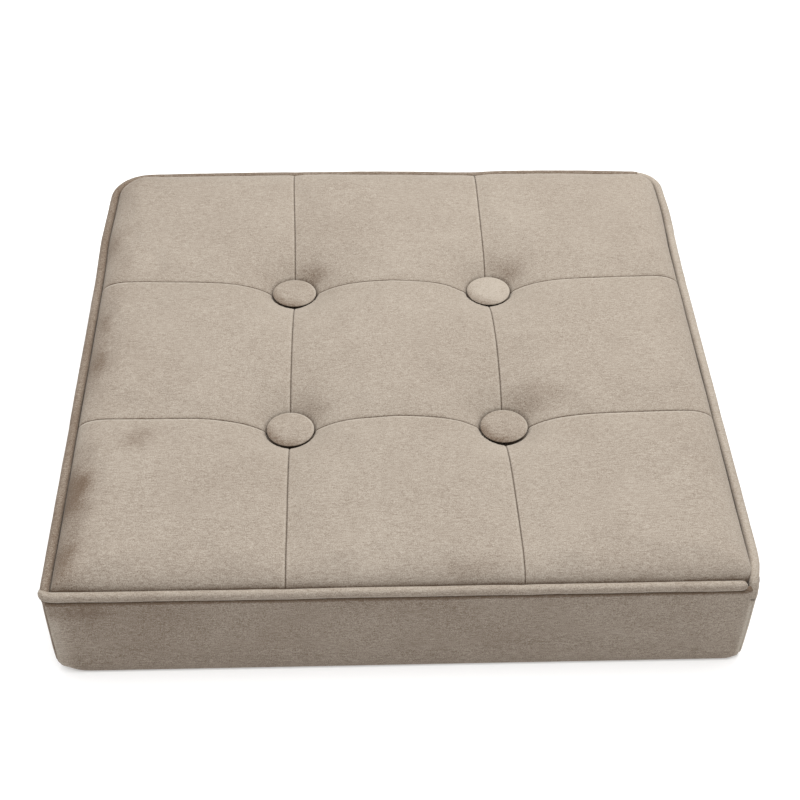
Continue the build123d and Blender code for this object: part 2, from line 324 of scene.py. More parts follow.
# ---- finishes --------------------------------------------------------------------------------
class Nodes:
    """A short way to build a material's node tree."""

    def __init__(self, name: str) -> None:
        """Start a material with a Principled shader.

        Args:
            name: The material's name.
        """
        self.material = bpy.data.materials.new(name)
        self.material.use_nodes = True
        self.tree = self.material.node_tree
        self.shader = self.tree.nodes["Principled BSDF"]

    def add(self, kind: str, **settings: object) -> bpy.types.Node:
        """Add a node, with its properties and, by name or index, its input values.

        Args:
            kind: The node's type.
            **settings: Its properties; "inputs" holds input values by name or index.

        Returns:
            The node.
        """
        node = self.tree.nodes.new(kind)
        for key, value in settings.items():
            if key == "inputs":
                for socket, number in value.items():
                    node.inputs[socket].default_value = number
            else:
                setattr(node, key, value)
        return node

    def link(self, source: bpy.types.NodeSocket, target: bpy.types.NodeSocket) -> None:
        """Join two sockets."""
        self.tree.links.new(source, target)

    def math(self, operation: str, first: object, second: object) -> bpy.types.NodeSocket:
        """A Math node on two values or sockets, and its result.

        Args:
            operation: What it does.
            first: The first value or socket.
            second: The second one.

        Returns:
            The socket of the result.
        """
        node = self.add("ShaderNodeMath", operation=operation)
        for socket, value in zip(node.inputs, (first, second)):
            if isinstance(value, bpy.types.NodeSocket):
                self.link(value, socket)
            else:
                socket.default_value = value
        return node.outputs[0]

    def noise(self, scale: float, detail: float = 2, stretch: tuple[float, float, float] = (1, 1, 1),
              rough: float = 0.5) -> bpy.types.NodeSocket:
        """Noise on object coordinates, as features per metre, and its value.

        Args:
            scale: Features per metre.
            detail: Finer layers.
            stretch: Scale along each axis.
            rough: How strong the finer layers are.

        Returns:
            The socket of its value.
        """
        place = self.add("ShaderNodeTexCoord")
        mapping = self.add("ShaderNodeMapping")
        mapping.inputs["Scale"].default_value = stretch
        node = self.add("ShaderNodeTexNoise", inputs={"Scale": scale, "Detail": detail, "Roughness": rough})
        self.link(place.outputs["Object"], mapping.inputs["Vector"])
        self.link(mapping.outputs[0], node.inputs["Vector"])
        return node.outputs["Fac"]

    def mix(self, share: object, first: object, second: object) -> bpy.types.NodeSocket:
        """A colour mix, and its result.

        Args:
            share: How much of the second colour.
            first: A colour or socket.
            second: A colour or socket.

        Returns:
            The socket of the mixed colour.
        """
        node = self.add("ShaderNodeMix", data_type="RGBA")
        for socket, value in ((node.inputs[0], share), (node.inputs[6], first), (node.inputs[7], second)):
            if isinstance(value, bpy.types.NodeSocket):
                self.link(value, socket)
            elif isinstance(value, tuple):
                socket.default_value = (*value, 1)
            else:
                socket.default_value = value
        return node.outputs[2]

    def bump(self, height: bpy.types.NodeSocket, depth: float, below: bpy.types.NodeSocket | None = None
             ) -> bpy.types.NodeSocket:
        """A bump of a depth in millimetres, over another bump, and its normal.

        Args:
            height: Its pattern.
            depth: Its depth, in millimetres.
            below: The normal of a bump under it.

        Returns:
            The socket of the normal.
        """
        node = self.add("ShaderNodeBump", inputs={"Strength": 1.0, "Distance": depth * MM})
        self.link(height, node.inputs["Height"])
        if below is not None:
            self.link(below, node.inputs["Normal"])
        return node.outputs["Normal"]

    def finish(self, colour: object, roughness: object, normal: bpy.types.NodeSocket | None = None,
               **plain: float) -> bpy.types.Material:
        """Wire the shader and return the material.

        Args:
            colour: A colour or a colour socket.
            roughness: A number or a socket.
            normal: A normal socket.
            **plain: Shader inputs that are the same all over, by their short names.

        Returns:
            The material.
        """
        for name, value in (("Base Color", colour), ("Roughness", roughness)):
            socket = self.shader.inputs[name]
            if isinstance(value, bpy.types.NodeSocket):
                self.link(value, socket)
            else:
                socket.default_value = (*value, 1) if isinstance(value, tuple) else value
        if normal is not None:
            self.link(normal, self.shader.inputs["Normal"])
        for name, value in plain.items():
            self.shader.inputs[SHADER_INPUTS[name]].default_value = value
        return self.material


@dataclass(frozen=True)
class Velvet:
    """Short cut pile, mixed from a light and a dark colour.

    The mesh attribute for the nap says how dark the velvet is at a point, from 0 to 1: partly where
    the pile was brushed to lie dark, partly painted shade in seams, crevices, under rims and on
    sides turned from the key light, and painted highlights on folds and rims.
    """

    name: str = "taupe_velvet"
    light: tuple[float, float, float] = (0.402, 0.354, 0.298)
    dark: tuple[float, float, float] = (0.130, 0.090, 0.062)
    sheen: float = 0.25
    sheen_roughness: float = 0.42
    sheen_colour: tuple[float, float, float] = (0.93, 0.87, 0.78)

    def make(self) -> bpy.types.Material:
        """Build the material.

        Returns:
            The material.
        """
        n = Nodes(self.name)
        nap = n.add("ShaderNodeAttribute", attribute_name="nap")
        wide = n.math("MULTIPLY", n.math("SUBTRACT", n.noise(16, 3), 0.5), 0.14)
        patch = n.math("MULTIPLY", n.math("SUBTRACT", n.noise(70, 3, rough=0.6), 0.5), 0.15)
        speck = n.math("MULTIPLY", n.math("SUBTRACT", n.noise(1800, 2, rough=0.7), 0.5), 1.8)
        rib = n.math("MULTIPLY", n.math("SUBTRACT", n.noise(1100, 1, (0.25, 1.0, 1.0)), 0.5), 0.60)
        grain = n.math("ADD", n.math("ADD", wide, patch), n.math("ADD", speck, rib))
        share = n.math("ADD", nap.outputs["Fac"], grain)
        shade = n.add("ShaderNodeClamp")
        n.link(share, shade.inputs[0])
        # light to dark by the attribute: the pile's own nap together with painted shade and painted
        # highlights
        colour = n.mix(shade.outputs[0], self.light, self.dark)
        pile = n.noise(2100, 2, rough=0.7)
        weave = n.noise(760, 1, (1.0, 0.35, 0.35))
        normal = n.bump(weave, 0.10, n.bump(pile, 0.12))
        material = n.finish(
            colour, 0.93, normal,
            sheen_weight=self.sheen, sheen_roughness=self.sheen_roughness, specular=0.12,
        )
        n.shader.inputs["Sheen Tint"].default_value = (*self.sheen_colour, 1)
        return material


@dataclass(frozen=True)
class Thread:
    """Spun sewing thread, cord or twine."""

    name: str
    colour: tuple[float, float, float]
    shine: float = 0.55

    def make(self) -> bpy.types.Material:
        """Build the material.

        Returns:
            The material.
        """
        n = Nodes(self.name)
        dark = tuple(0.62 * c for c in self.colour)
        ply = n.noise(1800, 2, (1, 1, 0.4))
        colour = n.mix(ply, self.colour, dark)
        return n.finish(colour, self.shine, n.bump(ply, 0.08), sheen_weight=0.2)


@dataclass(frozen=True)
class Wadding:
    """White polyester fibre batting."""

    name: str = "polyester_wadding"
    colour: tuple[float, float, float] = (0.84, 0.84, 0.82)

    def make(self) -> bpy.types.Material:
        """Build the material.

        Returns:
            The material.
        """
        n = Nodes(self.name)
        fibres = n.noise(900, 6, (1, 0.3, 1), rough=0.75)
        clumps = n.noise(60, 3)
        colour = n.mix(clumps, self.colour, (0.72, 0.72, 0.69))
        return n.finish(colour, 0.95, n.bump(fibres, 0.6, n.bump(clumps, 1.2)), sheen_weight=0.3)


@dataclass(frozen=True)
class Foam:
    """Open-cell seat foam."""

    name: str = "seat_foam"
    colour: tuple[float, float, float] = (0.80, 0.74, 0.55)

    def make(self) -> bpy.types.Material:
        """Build the material.

        Returns:
            The material.
        """
        n = Nodes(self.name)
        place = n.add("ShaderNodeTexCoord")
        cells = n.add("ShaderNodeTexVoronoi", inputs={"Scale": 900.0})
        n.link(place.outputs["Object"], cells.inputs["Vector"])
        colour = n.mix(cells.outputs["Distance"], (0.60, 0.52, 0.36), self.colour)
        return n.finish(colour, 0.9, n.bump(cells.outputs["Distance"], 0.3))


@dataclass(frozen=True)
class Plywood:
    """Birch plywood: long grain on its faces and stacked plies on its edges."""

    name: str = "birch_plywood"
    plies: int = 9
    thickness: float = 12.0

    def make(self) -> bpy.types.Material:
        """Build the material.

        Returns:
            The material.
        """
        n = Nodes(self.name)
        grain = n.noise(160, 5, (1, 0.06, 1), rough=0.6)
        flecks = n.noise(1200, 2, (1, 0.1, 1))
        face = n.mix(grain, (0.66, 0.50, 0.32), (0.50, 0.35, 0.20))
        face = n.mix(n.math("MULTIPLY", flecks, 0.25), face, (0.33, 0.21, 0.11))
        place = n.add("ShaderNodeTexCoord")
        split = n.add("ShaderNodeSeparateXYZ")
        n.link(place.outputs["Object"], split.inputs[0])
        layer = n.math("MULTIPLY", split.outputs["Z"], math.pi * self.plies / (self.thickness * MM))
        band = n.math("GREATER_THAN", n.math("SINE", layer, 0.0), 0.0)
        edge = n.mix(band, (0.58, 0.42, 0.26), (0.30, 0.19, 0.10))
        around = n.add("ShaderNodeNewGeometry")
        facing = n.add("ShaderNodeSeparateXYZ")
        n.link(around.outputs["Normal"], facing.inputs[0])
        flat = n.math("GREATER_THAN", n.math("ABSOLUTE", facing.outputs["Z"], 0.0), 0.5)
        return n.finish(n.mix(flat, edge, face), 0.62, n.bump(grain, 0.15))


@dataclass(frozen=True)
class Steel:
    """Zinc-plated steel."""

    name: str = "zinc_steel"
    colour: tuple[float, float, float] = (0.63, 0.63, 0.60)

    def make(self) -> bpy.types.Material:
        """Build the material.

        Returns:
            The material.
        """
        n = Nodes(self.name)
        spangle = n.noise(420, 3)
        scratches = n.noise(1600, 2, (1, 0.05, 1))
        colour = n.mix(spangle, self.colour, (0.46, 0.47, 0.46))
        rough = n.math("ADD", n.math("MULTIPLY", scratches, 0.25), 0.22)
        return n.finish(colour, rough, n.bump(scratches, 0.02), metallic=1.0)


@dataclass(frozen=True)
class Nonwoven:
    """Black spun-bonded dust cloth with its pressed dot pattern."""

    name: str = "black_nonwoven"
    pitch: float = 2.2

    def make(self) -> bpy.types.Material:
        """Build the material.

        Returns:
            The material.
        """
        n = Nodes(self.name)
        place = n.add("ShaderNodeTexCoord")
        dots = n.add("ShaderNodeTexVoronoi", inputs={"Scale": 1000 / self.pitch, "Randomness": 0.0})
        n.link(place.outputs["Object"], dots.inputs["Vector"])
        pressed = n.math("LESS_THAN", dots.outputs["Distance"], 0.28)
        fibres = n.noise(1300, 5, (1, 0.4, 1), rough=0.8)
        cloth = n.mix(fibres, (0.012, 0.012, 0.013), (0.05, 0.05, 0.052))
        colour = n.mix(pressed, cloth, (0.008, 0.008, 0.009))
        rough = n.math("SUBTRACT", 0.85, n.math("MULTIPLY", pressed, 0.35))
        height = n.math("SUBTRACT", fibres, n.math("MULTIPLY", pressed, 0.8))
        return n.finish(colour, rough, n.bump(height, 0.12), sheen_weight=0.15)


@dataclass(frozen=True)
class PaleFloor:
    """The plain white surface that the pad stands on."""

    name: str = "pale_floor"
    colour: tuple[float, float, float] = (0.80, 0.80, 0.80)
    glow: float = 0.30

    def make(self) -> bpy.types.Material:
        """Build the material.

        Returns:
            The material.
        """
        n = Nodes(self.name)
        material = n.finish(self.colour, 0.9, glow=self.glow, specular=0.0)
        n.shader.inputs["Emission Color"].default_value = (1, 1, 1, 1)
        return material


class Finishes:
    """Every material of the pad, made once."""

    def __init__(self) -> None:
        """Build the materials, and key them by the record's slot."""
        self.by_slot = {
            "taupe_velvet": Velvet().make(),
            "cotton_cord": Thread("cotton_cord", (0.78, 0.74, 0.66), 0.8).make(),
            "nylon_twine": Thread("nylon_twine", (0.76, 0.74, 0.70)).make(),
            "zinc_steel": Steel().make(),
            "polyester_wadding": Wadding().make(),
            "seat_foam": Foam().make(),
            "birch_plywood": Plywood().make(),
            "black_nonwoven": Nonwoven().make(),
        }
        # dark thread, darker than the velvet: partly painted shade down in the seam valleys
        self.seam_thread = Thread("seam_thread", (0.11, 0.085, 0.062), 0.7).make()

    def dress(self, piece: bpy.types.Object, slot: str, material: bpy.types.Material | None = None) -> None:
        """Give a piece its finish, its slot and its body.

        Args:
            piece: The finished piece.
            slot: The record's material slot.
            material: Another material than the slot's own.
        """
        piece.data.materials.clear()
        piece.data.materials.append(material or self.by_slot[slot])
        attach(piece, ROOT_BODY)

    def dress_node(self, node: str, slot: str) -> None:
        """Give a carried-over frame node the slot's finish."""
        for holder in frame["nodes"][node].material_slots:
            holder.material = self.by_slot[slot]


# ---- the pad's plan and the shape of its top -------------------------------------------------
@dataclass(frozen=True)
class Swell:
    """A place where the stuffing pushes one side out, or lets it sink in."""

    place: float
    reach: float
    height: float

    def at(self, along: np.ndarray) -> np.ndarray:
        """How far out the side is pushed.

        Args:
            along: Places along the side, from its middle.

        Returns:
            Millimetres outwards, below nought where the side sinks in.
        """
        return self.height * np.exp(-(((along - self.place) / self.reach) ** 2))


@dataclass
class Plan:
    """The pad seen from above, taken from the frame.

    Points are first placed in a plan with square corners, where the distance in from a side is
    plain, and then moved to the real plan with rounded corners.
    """

    half_width: float = field(init=False)
    half_depth: float = field(init=False)
    seam_x: float = field(init=False)
    seam_y: float = field(init=False)
    piping_height: float = field(init=False)
    piping_radius: float = 2.85
    piping_lift: float = 0.9
    radii: dict[Corner, float] = by_corner(8.0, 14.0, 26.0, 20.0)
    right_swells: tuple[Swell, ...] = (Swell(150, 35, 1.6),)
    left_swells: tuple[Swell, ...] = (Swell(120, 28, 1.1), Swell(200, 30, -1.0))
    back_swells: tuple[Swell, ...] = (
        Swell(-200, 30, -1.2), Swell(-60, 70, 0.9), Swell(55, 25, -1.7), Swell(195, 45, -3.2),
    )

    def __post_init__(self) -> None:
        """Read the pad's sizes from its frame nodes."""
        self.half_width = box_of("piping_cover_right")[1][0]
        self.half_depth = box_of("piping_cover_back")[1][1]
        low, high = box_of("button_cover_back_right")
        self.seam_x, self.seam_y = ((low + high) / 2)[:2]
        low, high = box_of("piping_cord_front")
        self.piping_height = (low[2] + high[2]) / 2 + self.piping_lift

    def buttons(self) -> dict[Corner, tuple[float, float]]:
        """The middle of each button."""
        return {corner: (corner.value[0] * self.seam_x, corner.value[1] * self.seam_y) for corner in Corner}

    def seam_line(self, left: bool, y: np.ndarray) -> np.ndarray:
        """Where a front-to-back seam runs: almost straight, with the drift of hand-fed sewing.

        Args:
            left: True for the left seam, False for the right one.
            y: Places along Y.

        Returns:
            Its place along X at each of them.
        """
        if left:
            return -self.seam_x - 2.0 * smooth_step(y, 90, self.half_depth) + 0.25 * np.sin(y / 37.0)
        return self.seam_x - 0.4 - 0.0075 * y + 0.25 * np.sin(y / 31.0 + 1.0)

    def to_seam(self, x: np.ndarray, y: np.ndarray) -> np.ndarray:
        """Distance to the nearest seam.

        Args:
            x: Places along X in the square plan.
            y: Places along Y, of the same shape.

        Returns:
            Millimetres from each place.
        """
        upright = np.minimum(np.abs(x - self.seam_line(True, y)), np.abs(x - self.seam_line(False, y)))
        return np.minimum(upright, np.abs(np.abs(y) - self.seam_y))

    def halves(self, side: Side) -> tuple[float, float]:
        """Half of a side's length, and how far that side is from the pad's middle."""
        sizes = (self.half_width, self.half_depth)
        return sizes if side in (Side.FRONT, Side.BACK) else sizes[::-1]

    def rounded(
        self, x: np.ndarray, y: np.ndarray, radii: dict[Corner, float] | None = None
    ) -> tuple[np.ndarray, np.ndarray]:
        """Move points from the square plan to the real one, with its round corners and bowed sides.

        Args:
            x: Places along X in the square plan.
            y: Places along Y in the square plan.
            radii: Corner radii to use in place of the plan's own.

        Returns:
            The moved places.
        """
        x, y = np.array(x, float), np.array(y, float)
        new_x, new_y = x.copy(), y.copy()
        for corner, radius in (radii or self.radii).items():
            sx, sy = corner.value
            a, b = self.half_width - sx * x, self.half_depth - sy * y
            inset, along = np.minimum(a, b), np.abs(a - b)
            arc = radius - inset
            here = (arc > 1e-6) & (along < arc) & (sx * x > 0) & (sy * y > 0)
            share = np.where(here, along / np.where(arc > 1e-6, arc, 1), 0)
            angle = np.where(a < b, 1 - share, 1 + share) * math.pi / 4
            new_x = np.where(here, sx * (self.half_width - radius + arc * np.cos(angle)), new_x)
            new_y = np.where(here, sy * (self.half_depth - radius + arc * np.sin(angle)), new_y)
        sides = (
            (new_x, self.seam_x, self.half_width, new_y, self.right_swells),
            (-new_x, self.seam_x, self.half_width, new_y, self.left_swells),
            (new_y, self.seam_y, self.half_depth, new_x, self.back_swells),
        )
        right, left, back = (
            smooth_step(across, seam, half - 5) * sum(swell.at(along) for swell in swells)
            for across, seam, half, along, swells in sides
        )
        return new_x + right - left, new_y + back


@dataclass
class TopShape:
    """The height of the velvet over the plan, with square corners."""

    plan: Plan
    inset: float = 5.75
    rim_height: float = 65.3
    full_height: float = 77.6
    rim_roll: float = 20.0
    seam_drop: float = 1.9
    seam_reach: float = 7.5
    button_pull: float = 13.2
    button_radius: float = 15.5
    button_reach: float = 17.0
    button_floor: float = 4.6
    unevenness: float = 0.35

    def rim_share(self, distance: np.ndarray) -> np.ndarray:
        """How much of the full height is reached this far in from the piping."""
        t = np.clip(distance / self.rim_roll, 0, 1)
        return np.sqrt(np.maximum(1 - (1 - t) ** 2, 0))

    def pull(self, x: np.ndarray, y: np.ndarray) -> np.ndarray:
        """How far the buttons pull the velvet down.

        Args:
            x: Places along X in the square plan.
            y: Places along Y, of the same shape.

        Returns:
            Millimetres down at each place.
        """
        most = np.zeros_like(x)
        for bx, by in self.plan.buttons().values():
            r = np.hypot(x - bx, y - by)
            slant = np.abs(2 * (x - bx) * (y - by)) / np.maximum(r * r, 1e-6)
            past = np.maximum(r - self.button_radius, 0) * (1 + 0.16 * slant)
            outside = self.button_pull * np.exp(-past / self.button_reach)
            inside = self.button_floor * smooth_step(self.button_radius + 0.5 - r, 0, 2.4)
            most = np.maximum(most, outside + inside)
        return most

    def height(self, x: np.ndarray, y: np.ndarray) -> np.ndarray:
        """Height of the velvet's face.

        Args:
            x: Places along X in the square plan, in millimetres.
            y: Places along Y, of the same shape.

        Returns:
            Heights in millimetres.
        """
        plan = self.plan
        a = plan.half_width - self.inset - np.abs(x)
        b = plan.half_depth - self.inset - np.abs(y)
        near, far = self.rim_share(np.minimum(a, b)), self.rim_share(np.maximum(a, b))
        share = near * (1 - 0.22 * (1 - far))
        drop = self.seam_drop * np.exp(-plan.to_seam(x, y) / self.seam_reach)
        uneven = self.unevenness * (soft_noise(x, y, 46, 3) + 0.5 * soft_noise(x, y, 21, 4))
        rise = self.full_height - self.rim_height + uneven - drop - self.pull(x, y)
        return self.rim_height + share * rise


class Pulls:
    """Small pull folds in the velvet, from a cloth simulation of the whole top.

    The cover is sewn a little large, held at its rim, its seams and its buttons, and blown up
    from below. What is left after its broad shape is taken away is a field of soft folds.
    """

    seam_width = 2.0
    seam_hold = 0.55
    button_radius = 15.0
    rim_width = 1.0
    broad_blur = 5.0  # in cells: what is smoother than this is shape, not fold
    fine_blur = 0.8

    def __init__(self, shape: TopShape, cells: int = 112, frames: int = 16, cap: float = 1.1) -> None:
        """Args:
            shape: The top's shape.
            cells: Cells along each side of the cloth.
            frames: Steps of the simulation.
            cap: The deepest fold kept, in millimetres.
        """
        self.shape = shape
        plan = shape.plan
        self.xs = np.linspace(-plan.half_width + shape.inset, plan.half_width - shape.inset, cells + 1)
        self.ys = np.linspace(-plan.half_depth + shape.inset, plan.half_depth - shape.inset, cells + 1)
        self.folds = np.zeros((cells + 1, cells + 1))
        self.folds = self.simulate(frames, cap)

    def held(self, x: np.ndarray, y: np.ndarray) -> np.ndarray:
        """How firmly each point of the cloth is held, from 0 to 1.

        Args:
            x: Places along X in the square plan.
            y: Places along Y, of the same shape.

        Returns:
            The hold at each place.
        """
        plan = self.shape.plan
        rim = np.minimum(plan.half_width - np.abs(x), plan.half_depth - np.abs(y)) - self.shape.inset
        hold = np.where(plan.to_seam(x, y) < self.seam_width, self.seam_hold, 0.0)
        for bx, by in plan.buttons().values():
            hold = np.where(np.hypot(x - bx, y - by) < self.button_radius, 1.0, hold)
        return np.where(rim < self.rim_width, 1.0, hold)

    def simulate(self, frames: int, cap: float) -> np.ndarray:
        """Blow the cloth up and keep its folds.

        Args:
            frames: Steps of the simulation.
            cap: The deepest fold kept, in millimetres.

        Returns:
            The folds' heights over the grid, in millimetres.
        """
        x, y = np.meshgrid(self.xs, self.ys)
        z = self.shape.height(x, y)
        rows, columns = x.shape
        cloth = mesh_piece("cloth_top", np.stack([x, y, z], -1), grid_faces(rows, columns))
        group = cloth.vertex_groups.new(name="held")
        for index, weight in enumerate(self.held(x, y).ravel()):
            if weight > 0:
                group.add([index], float(weight), "REPLACE")
        cloth.modifiers.new("cloth", "CLOTH")
        settings = cloth.modifiers["cloth"].settings
        settings.quality = 6
        settings.mass = 0.12
        settings.tension_stiffness = 18
        settings.compression_stiffness = 18
        settings.shear_stiffness = 6
        settings.bending_stiffness = 0.35
        settings.vertex_group_mass = "held"
        settings.pin_stiffness = 1.0
        settings.shrink_min = -0.02
        settings.use_pressure = True
        settings.uniform_pressure_force = 3.0
        settings.effector_weights.gravity = 0
        cloth.modifiers["cloth"].collision_settings.use_collision = False
        scene = bpy.context.scene
        for step in range(1, frames + 1):
            scene.frame_set(step)
        seen = cloth.evaluated_get(bpy.context.evaluated_depsgraph_get())
        places = np.empty(rows * columns * 3)
        seen.data.vertices.foreach_get("co", places)
        risen = places.reshape(rows, columns, 3)[:, :, 2] / MM - z
        scene.frame_set(1)
        bpy.data.objects.remove(cloth)
        folds = risen - self.blur(risen, self.broad_blur)
        folds *= smooth_step(1 - self.held(x, y), 0.0, 0.5)
        folds = self.blur(folds, self.fine_blur)
        LOG.info("pull folds: %.2f mm deep at most before the cap", float(np.abs(folds).max()))
        return cap * np.tanh(folds / cap)

    @staticmethod
    def blur(field_: np.ndarray, reach: float) -> np.ndarray:
        """Smooth a grid of values with a Gaussian of this many cells.

        Args:
            field_: The grid.
            reach: The Gaussian's spread, in cells.

        Returns:
            The smoothed grid.
        """
        span = int(3 * reach) + 1
        kernel = np.exp(-0.5 * (np.arange(-span, span + 1) / reach) ** 2)
        kernel /= kernel.sum()
        for axis in (0, 1):
            padded = np.pad(field_, [(span, span) if k == axis else (0, 0) for k in (0, 1)], mode="edge")
            field_ = np.apply_along_axis(lambda line: np.convolve(line, kernel, "valid"), axis, padded)
        return field_

    def at(self, x: np.ndarray, y: np.ndarray) -> np.ndarray:
        """The folds' height at points of the square plan.

        Args:
            x: Places along X in the square plan.
            y: Places along Y, of the same shape.

        Returns:
            Millimetres at each place.
        """
        u = np.clip((x - self.xs[0]) / (self.xs[1] - self.xs[0]), 0, len(self.xs) - 1.001)
        v = np.clip((y - self.ys[0]) / (self.ys[1] - self.ys[0]), 0, len(self.ys) - 1.001)
        i, j = u.astype(int), v.astype(int)
        f, g = u - i, v - j
        f, g = f * f * (3 - 2 * f), g * g * (3 - 2 * g)
        low = self.folds[j, i] * (1 - f) + self.folds[j, i + 1] * f
        high = self.folds[j + 1, i] * (1 - f) + self.folds[j + 1, i + 1] * f
        return low * (1 - g) + high * g


class Nap:
    """Where the velvet is painted dark, from 0 to 1: where hands and packing left the pile lying dark, and
    painted shade and painted light round the buttons.
    """

    base = 0.34
    # painted shade and painted light round each button: place from a button's middle, reach and strength
    painted_button_shade = ((14, 13, 9, 0.20), (2, 19, 8, 0.07), (-15, 11, 8, 0.04), (-6, -23, 12, -0.09))
    # middle along X and Y, reach along X and Y, and strength, of each patch: brushed patches, with painted
    # shade behind the buttons and, below nought, painted light in their hollows
    patches: tuple[tuple[float, float, float, float, float], ...] = (
        (-188, -118, 9, 16, 0.50),
        (-188, -134, 8, 14, 0.30),
        (-187, -172, 8, 16, 0.42),
        (-156, -86, 10, 9, 0.30),
        # painted light in the hollows round the four buttons
        (65, -65, 22, 22, -0.14),
        (65, 65, 22, 22, -0.07),
        (-65, 65, 22, 22, -0.06),
        (-65, -65, 22, 22, -0.04),
        (-190, 108, 7, 14, 0.25),
        (-188, 24, 8, 14, 0.36),
        (-190, -14, 8, 14, 0.34),
        (34, -187, 12, 5, 0.20),
        # painted shade behind and to the right of three buttons, in their hollows
        (-52, 80, 9, 7, 0.16),
        (82, 82, 12, 9, 0.16),
        (86, -46, 16, 11, 0.16),
    )

    @classmethod
    def of_top(cls, x: np.ndarray, y: np.ndarray) -> np.ndarray:
        """The nap of the top panels, with painted shade and painted light round the buttons.

        Args:
            x: Places along X, in millimetres.
            y: Places along Y, of the same shape.

        Returns:
            How dark the velvet is at each place.
        """
        ragged = 4.0 * soft_noise(x, y, 14, 11) + 2.0 * soft_noise(x, y, 6, 12)
        # darker along the left edge: brushed pile, and partly painted shade on the slopes turned from the
        # light
        left = smooth_step(-(x + ragged), 165, 194) * (0.15 + 0.09 * soft_noise(x, y, 30, 13))
        front = smooth_step(-(y + ragged), 174, 194) * 0.05
        nap = cls.base + left + front + 0.03 * soft_noise(x, y, 60, 14) + 0.025 * soft_noise(x, y, 22, 15)
        for px, py, rx, ry, strength in cls.patches:
            far = ((x + ragged - px) / rx) ** 2 + ((y + 0.6 * ragged - py) / ry) ** 2
            nap = nap + strength * np.exp(-far)
        return nap

    @classmethod
    def painted_shade_by_button(cls, x: np.ndarray, y: np.ndarray, middle: tuple[float, float]) -> np.ndarray:
        """The painted shade round one button: darker behind it to the right, lighter before it, and dark in
        the crevice round its rim.

        Args:
            x: Places along X in the square plan.
            y: Places along Y, of the same shape.
            middle: The button's middle.

        Returns:
            What painted shade and painted light it adds at each place.
        """
        nap = np.zeros_like(x)
        for px, py, reach, strength in cls.painted_button_shade:
            far = (x - middle[0] - px) ** 2 + (y - middle[1] - py) ** 2
            nap = nap + strength * np.exp(-far / reach**2)
        r = np.hypot(x - middle[0], y - middle[1])
        # painted shade in the crevice round the button's rim
        return nap + 0.5 * smooth_step(15.9 - r, 0, 1.0)

    @staticmethod
    def of_strip(along: np.ndarray, up: np.ndarray, base: float, seed: int) -> np.ndarray:
        """The shade of a boxing strip or a length of piping: its given base, which carries painted shade,
        with broad random tone over it.
        """
        broad = 0.05 * soft_noise(along, up, 42, seed) + 0.04 * soft_noise(along, up, 15, seed + 1)
        return base + broad


